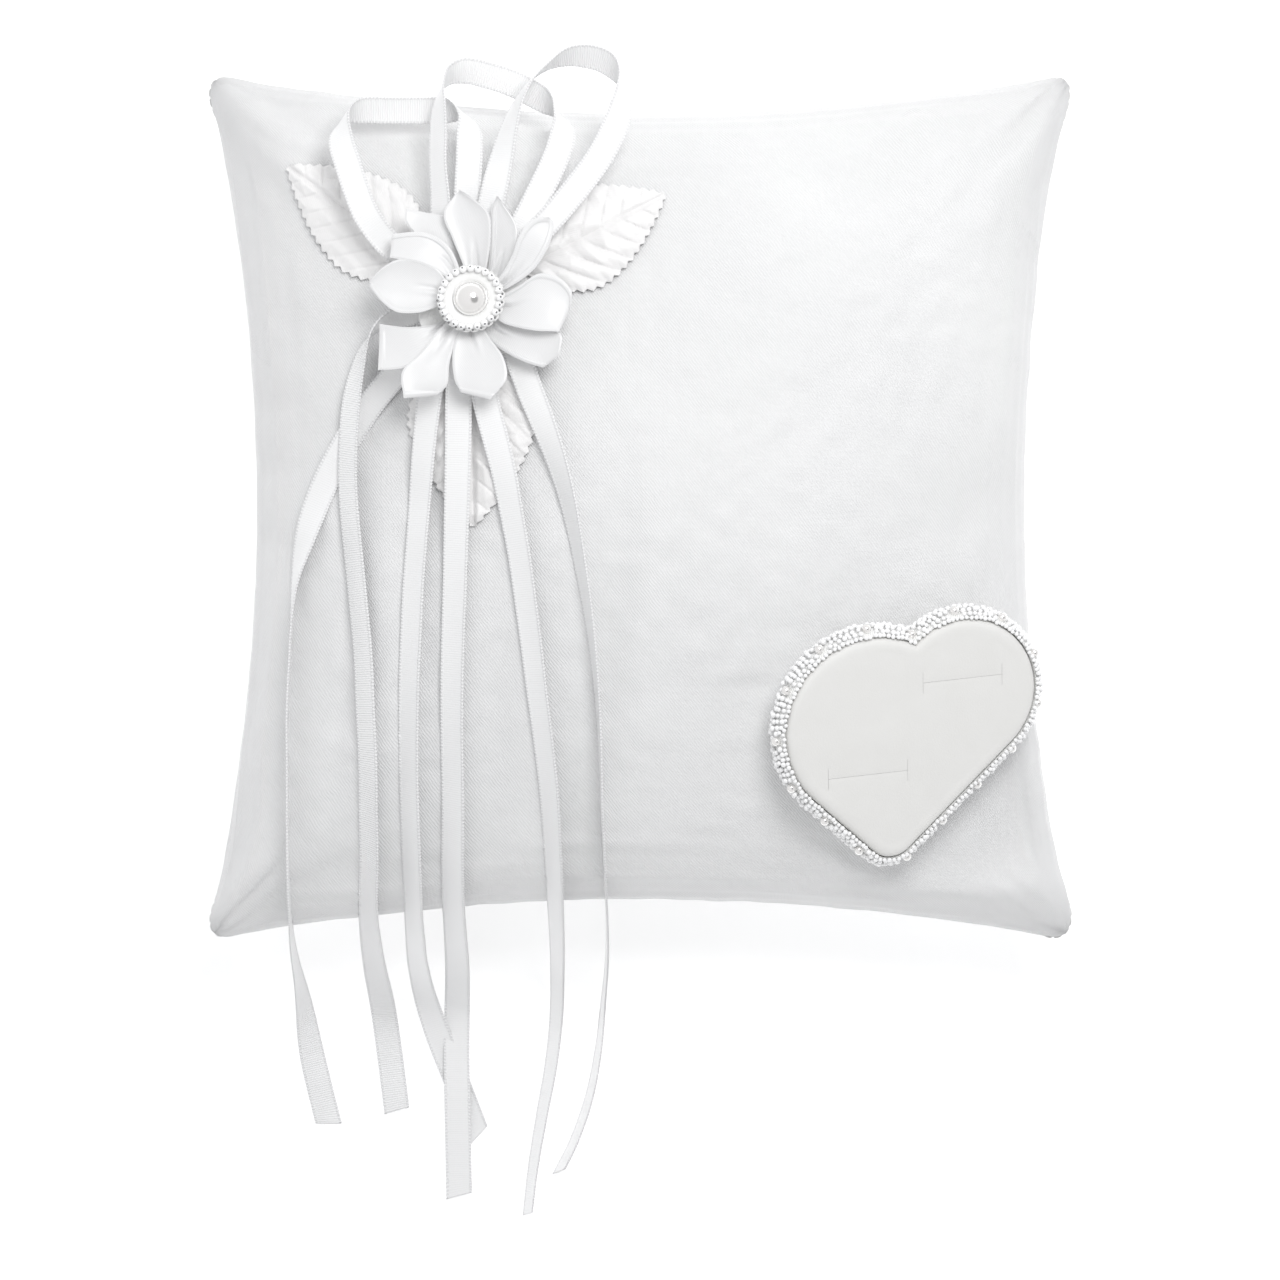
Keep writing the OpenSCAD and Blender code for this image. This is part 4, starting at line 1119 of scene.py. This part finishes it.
def cut_slits(obj):
    """Cuts the two slits into the foam with thin blades."""
    blades = []
    c, s = math.cos(SLIT_TURN), math.sin(SLIT_TURN)
    z0 = GAP + BACKING_T + HEART_T
    inner, outer, w = SLIT_HALF - CUT_HALF, SLIT_HALF + CUT_HALF, CUT_HALF
    half = [(-outer, -SLIT_END), (-inner, -SLIT_END), (-inner, -w),
            (inner, -w), (inner, -SLIT_END), (outer, -SLIT_END)]
    outline = half + [(-a, -b) for a, b in half]
    for cx, cy in SLITS:
        flat = np.array([(cx + c * a - s * b, cy + s * a + c * b) for a, b in outline])
        low = on_heart(np.column_stack([flat, np.full(12, z0 - 6)]))
        high = on_heart(np.column_stack([flat, np.full(12, z0 + 2)]))
        sides = [[k, (k + 1) % 12, 12 + (k + 1) % 12, 12 + k] for k in range(12)]
        blades.append((np.concatenate([low, high]), sides + [list(range(11, -1, -1)), list(range(12, 24))]))
    points, faces = join(blades)
    blade = piece("blade", points, faces, [slit_painted_shade])
    cut = obj.modifiers.new("cut", "BOOLEAN")
    cut.operation, cut.solver, cut.object = "DIFFERENCE", "EXACT", blade
    # The blades pass their darker foam, painted shade, on to the slit walls.
    cut.material_mode = "TRANSFER"
    evaluated = obj.evaluated_get(bpy.context.evaluated_depsgraph_get())
    mesh = bpy.data.meshes.new_from_object(evaluated)
    obj.modifiers.clear()
    obj.data = mesh
    bpy.data.objects.remove(blade)
    shade_smooth(mesh, 40)


points, faces = foam_mesh()
pad = piece("heart_foam", on_heart(points), faces, [foam])
cut_slits(pad)
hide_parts("heart_pad")


def stringing_band(low, high, count):
    """The tape that stands round the heart, with the thick stringing threads that the beads sit on."""
    q, outward, length = heart_outline(0, count)
    k = np.arange(count)
    wave = 0.06 * np.sin(k * TAU / count * round(length / 1.3))
    ring = np.array([
        np.column_stack([q + outward * (out + wave * (out > 0.3))[:, None], np.full(count, z)])
        for out, z in ((0.25, low), (0.8, low + 0.1), (1.5, low + 1.2), (1.65, low + 2.4), (1.4, high - 0.7),
                       (0.75, high + 0.3), (0.35, high + 0.75), (0.25, high + 0.5))])
    uv = np.column_stack([ring[:, :, 2].reshape(-1), np.tile(k * length / count, len(ring))])
    return ring.reshape(-1, 3), hoop_faces(ring), uv


z_pad = GAP + BACKING_T
points, faces, uv = stringing_band(z_pad + TAPE_Z, z_pad + TAPE_Z + TAPE_H, 320)
tape = piece("heart_bead_tape", on_heart(points), faces, [thread], uv=uv, sharp=40)
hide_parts("heart_tape")


def backing_mesh():
    """The felt layer under the foam, cut a little smaller than it."""
    q, outward, _ = heart_outline(0, 220)
    rows = []
    for grow, z in ((-3, GAP), (-2.1, GAP), (-1.9, GAP + 0.3), (-1.9, GAP + 0.8),
                    (-2.2, GAP + 1.0), (-3, GAP + 1.0)):
        rows.append(np.column_stack([q + outward * grow, np.full(len(q), z)]))
    points, faces = ring_faces(np.array(rows))
    return points, [f[::-1] for f in faces]


points, faces = backing_mesh()
backing = piece("heart_backing_felt", on_heart(points), faces, [felt], sharp=50)
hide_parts("heart_backing")


def bead_trim():
    """Rows of small clear beads that bulge round the tape, with a larger bead here and there."""
    q, outward, length = heart_outline(GAP + TAPE_T, 1840)
    count = len(q)
    tangent = np.stack([outward[:, 1], -outward[:, 0]], -1)
    middle = z_pad + TAPE_Z + TAPE_H / 2
    seed = np.random.RandomState(11)
    pearls = round(length / PEARL_PITCH)
    parts, large = [], []

    def bead(at, up, out, size):
        k = int(round(at / length * count)) % count
        drift = seed.uniform(-0.16, 0.16, 3)
        plan = q[k] + outward[k] * (out + drift[0]) + tangent[k] * drift[1]
        centre = np.array([*plan, middle + up + drift[2]])
        parts.append(ball(centre, size * seed.uniform(0.88, 1.15) / 2, 10, 6))

    for row, (up, out, size, pitch) in enumerate([
        (3.3, -0.1, 1.0, 1.12), (2.5, 0.65, 1.15, 1.25), (1.5, 1.25, 1.2, 1.32),
        (0.3, 1.55, 1.25, 1.35), (-0.9, 1.45, 1.2, 1.32), (-2.0, 0.9, 1.15, 1.3),
    ]):
        steps = round(length / pitch)
        for k in range(steps):
            at = (k + 0.5 * (row % 2)) * length / steps
            near = abs((at / length * pearls + 0.5) % 1 - 0.5) * length / pearls
            if near > 1.5 or up > 3 or up < -0.5:
                bead(at, up + 0.2 * math.sin(at * 0.9 + row), out + 0.15 * math.sin(at * 1.7), size)
    for k in range(pearls):
        at = int(k / pearls * count)
        large.append(ball([*(q[at] + outward[at] * 1.25), middle + 1.35], 1.12, 20, 12))
    return join(parts), join(large)


(points, faces), (large_points, large_faces) = bead_trim()
pearls = piece("heart_pearl_beads", on_heart(large_points), large_faces, [pearl])
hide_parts("heart_pearls")
trim = piece("heart_bead_trim", on_heart(points), faces, [clear_bead])
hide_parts("heart_beads")

# ---------------------------------------------------------------- the cushion's seam and hand stitches
STITCH_PITCH, HAND_PITCH = 2.4, 4.0


def seam_stitches():
    """The machine stitches that show in the seam all round."""
    front = cushion_top
    closed = np.concatenate([front[:, 0], front[-1, 1:], front[::-1, -1][1:], front[0, ::-1][1:]])
    length = run_length(closed)
    count = round(length[-1] / STITCH_PITCH)
    bow = np.sin(np.linspace(0, math.pi, 5))[:, None]
    parts = []
    for k in range(count):
        p = points_at((k + np.linspace(0.12, 0.88, 5)) * length[-1] / count, length, closed)
        middle = unit(p * np.array([1, 1, 0]))
        parts.append(tube(p - middle * 0.12 + middle * 0.12 * bow, 0.17, 6))
    return join(parts)


points, faces = seam_stitches()
seam = piece("edge_seam_stitches", points, faces, [thread], uv=with_length(points, 6))
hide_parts("edge_seam")


def closing():
    """Slanting hand stitches over the closed filling hole, in the middle of the upper side."""
    upper = cushion_top[:, -1]
    parts = []
    turn = np.linspace(-1.25, 1.25, 9)
    for x in np.arange(-26, 27, HAND_PITCH):
        near = upper[np.argmin(np.abs(upper[:, 0] - x))]
        path = [near[0] + (x - near[0]) + turn * 0.9, near[1] + 0.25 * np.cos(turn) + 0.05, near[2] + turn]
        parts.append(tube(np.stack(path, -1), 0.2, 6))
    return join(parts)


points, faces = closing()
hand = piece("closing_hand_stitches", points, faces, [thread], uv=with_length(points, 6))
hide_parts("closing_stitches")

# ---------------------------------------------------------------- the CAD nodes that stay
for node, material in {"bezel": bezel_plastic, "bezel_beads": clear_bead, "bezel_pearl": pearl}.items():
    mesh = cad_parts[node].data
    mesh.materials.clear()
    mesh.materials.append(material)
    shade_smooth(mesh, 35)

# ---------------------------------------------------------------- floor and light
FLOOR_HALF, FLOOR_Z = 4, -0.0006
floor_mesh = bpy.data.meshes.new("floor")
floor_corners = [(a * FLOOR_HALF, b * FLOOR_HALF, FLOOR_Z) for a, b in ((-1, -1), (1, -1), (1, 1), (-1, 1))]
floor_mesh.from_pydata(floor_corners, [], [(0, 1, 2, 3)])
floor = bpy.data.objects.new("floor", floor_mesh)
bpy.context.scene.collection.objects.link(floor)
floor_look = Graph("floor", (0.93, 0.93, 0.93), 0.9)
floor_grain = floor_look.noise(object_space(floor_look), 3.0)
floor_look.put("Base Color", floor_look.tint(floor_grain, (0.92, 0.92, 0.92), (0.94, 0.94, 0.94)))
floor_look.put("Emission Color", (1, 1, 1, 1))
floor_look.put("Emission Strength", 0.36)
floor_mesh.materials.append(floor_look.material)


def area_light(name, place, target, size, power):
    light = bpy.data.lights.new(name, "AREA")
    light.shape = "DISK"
    light.size = size
    light.energy = power
    obj = bpy.data.objects.new(name, light)
    bpy.context.scene.collection.objects.link(obj)
    obj.location = place
    obj.rotation_mode = "QUATERNION"
    obj.rotation_quaternion = (Vector(target) - Vector(place)).to_track_quat("-Z", "Y")


area_light("key", (0.13, 0.25, 0.6), (0.0, 0.0, 0.04), 0.3, 1.95)
world = bpy.data.worlds.new("studio")
world.use_nodes = True
tree = world.node_tree
# White walls, with a soft dark patch overhead for the glossy pieces to reflect.
place = tree.nodes.new("ShaderNodeTexCoord")
facing = tree.nodes.new("ShaderNodeVectorMath")
facing.operation = "DOT_PRODUCT"
facing.inputs[1].default_value = Vector((0.42, -0.1, 0.9)).normalized()
patch = tree.nodes.new("ShaderNodeMapRange")
patch.interpolation_type = "SMOOTHSTEP"
for key, value in {"From Min": 0.87, "From Max": 0.965, "To Min": 0.79, "To Max": 0.08}.items():
    patch.inputs[key].default_value = value
tree.links.new(place.outputs["Generated"], facing.inputs[0])
tree.links.new(facing.outputs["Value"], patch.inputs["Value"])
tree.links.new(patch.outputs["Result"], tree.nodes["Background"].inputs["Strength"])
tree.nodes["Background"].inputs["Color"].default_value = (0.985, 0.99, 1, 1)
bpy.context.scene.world = world
bpy.context.scene.view_settings.view_transform = "Standard"
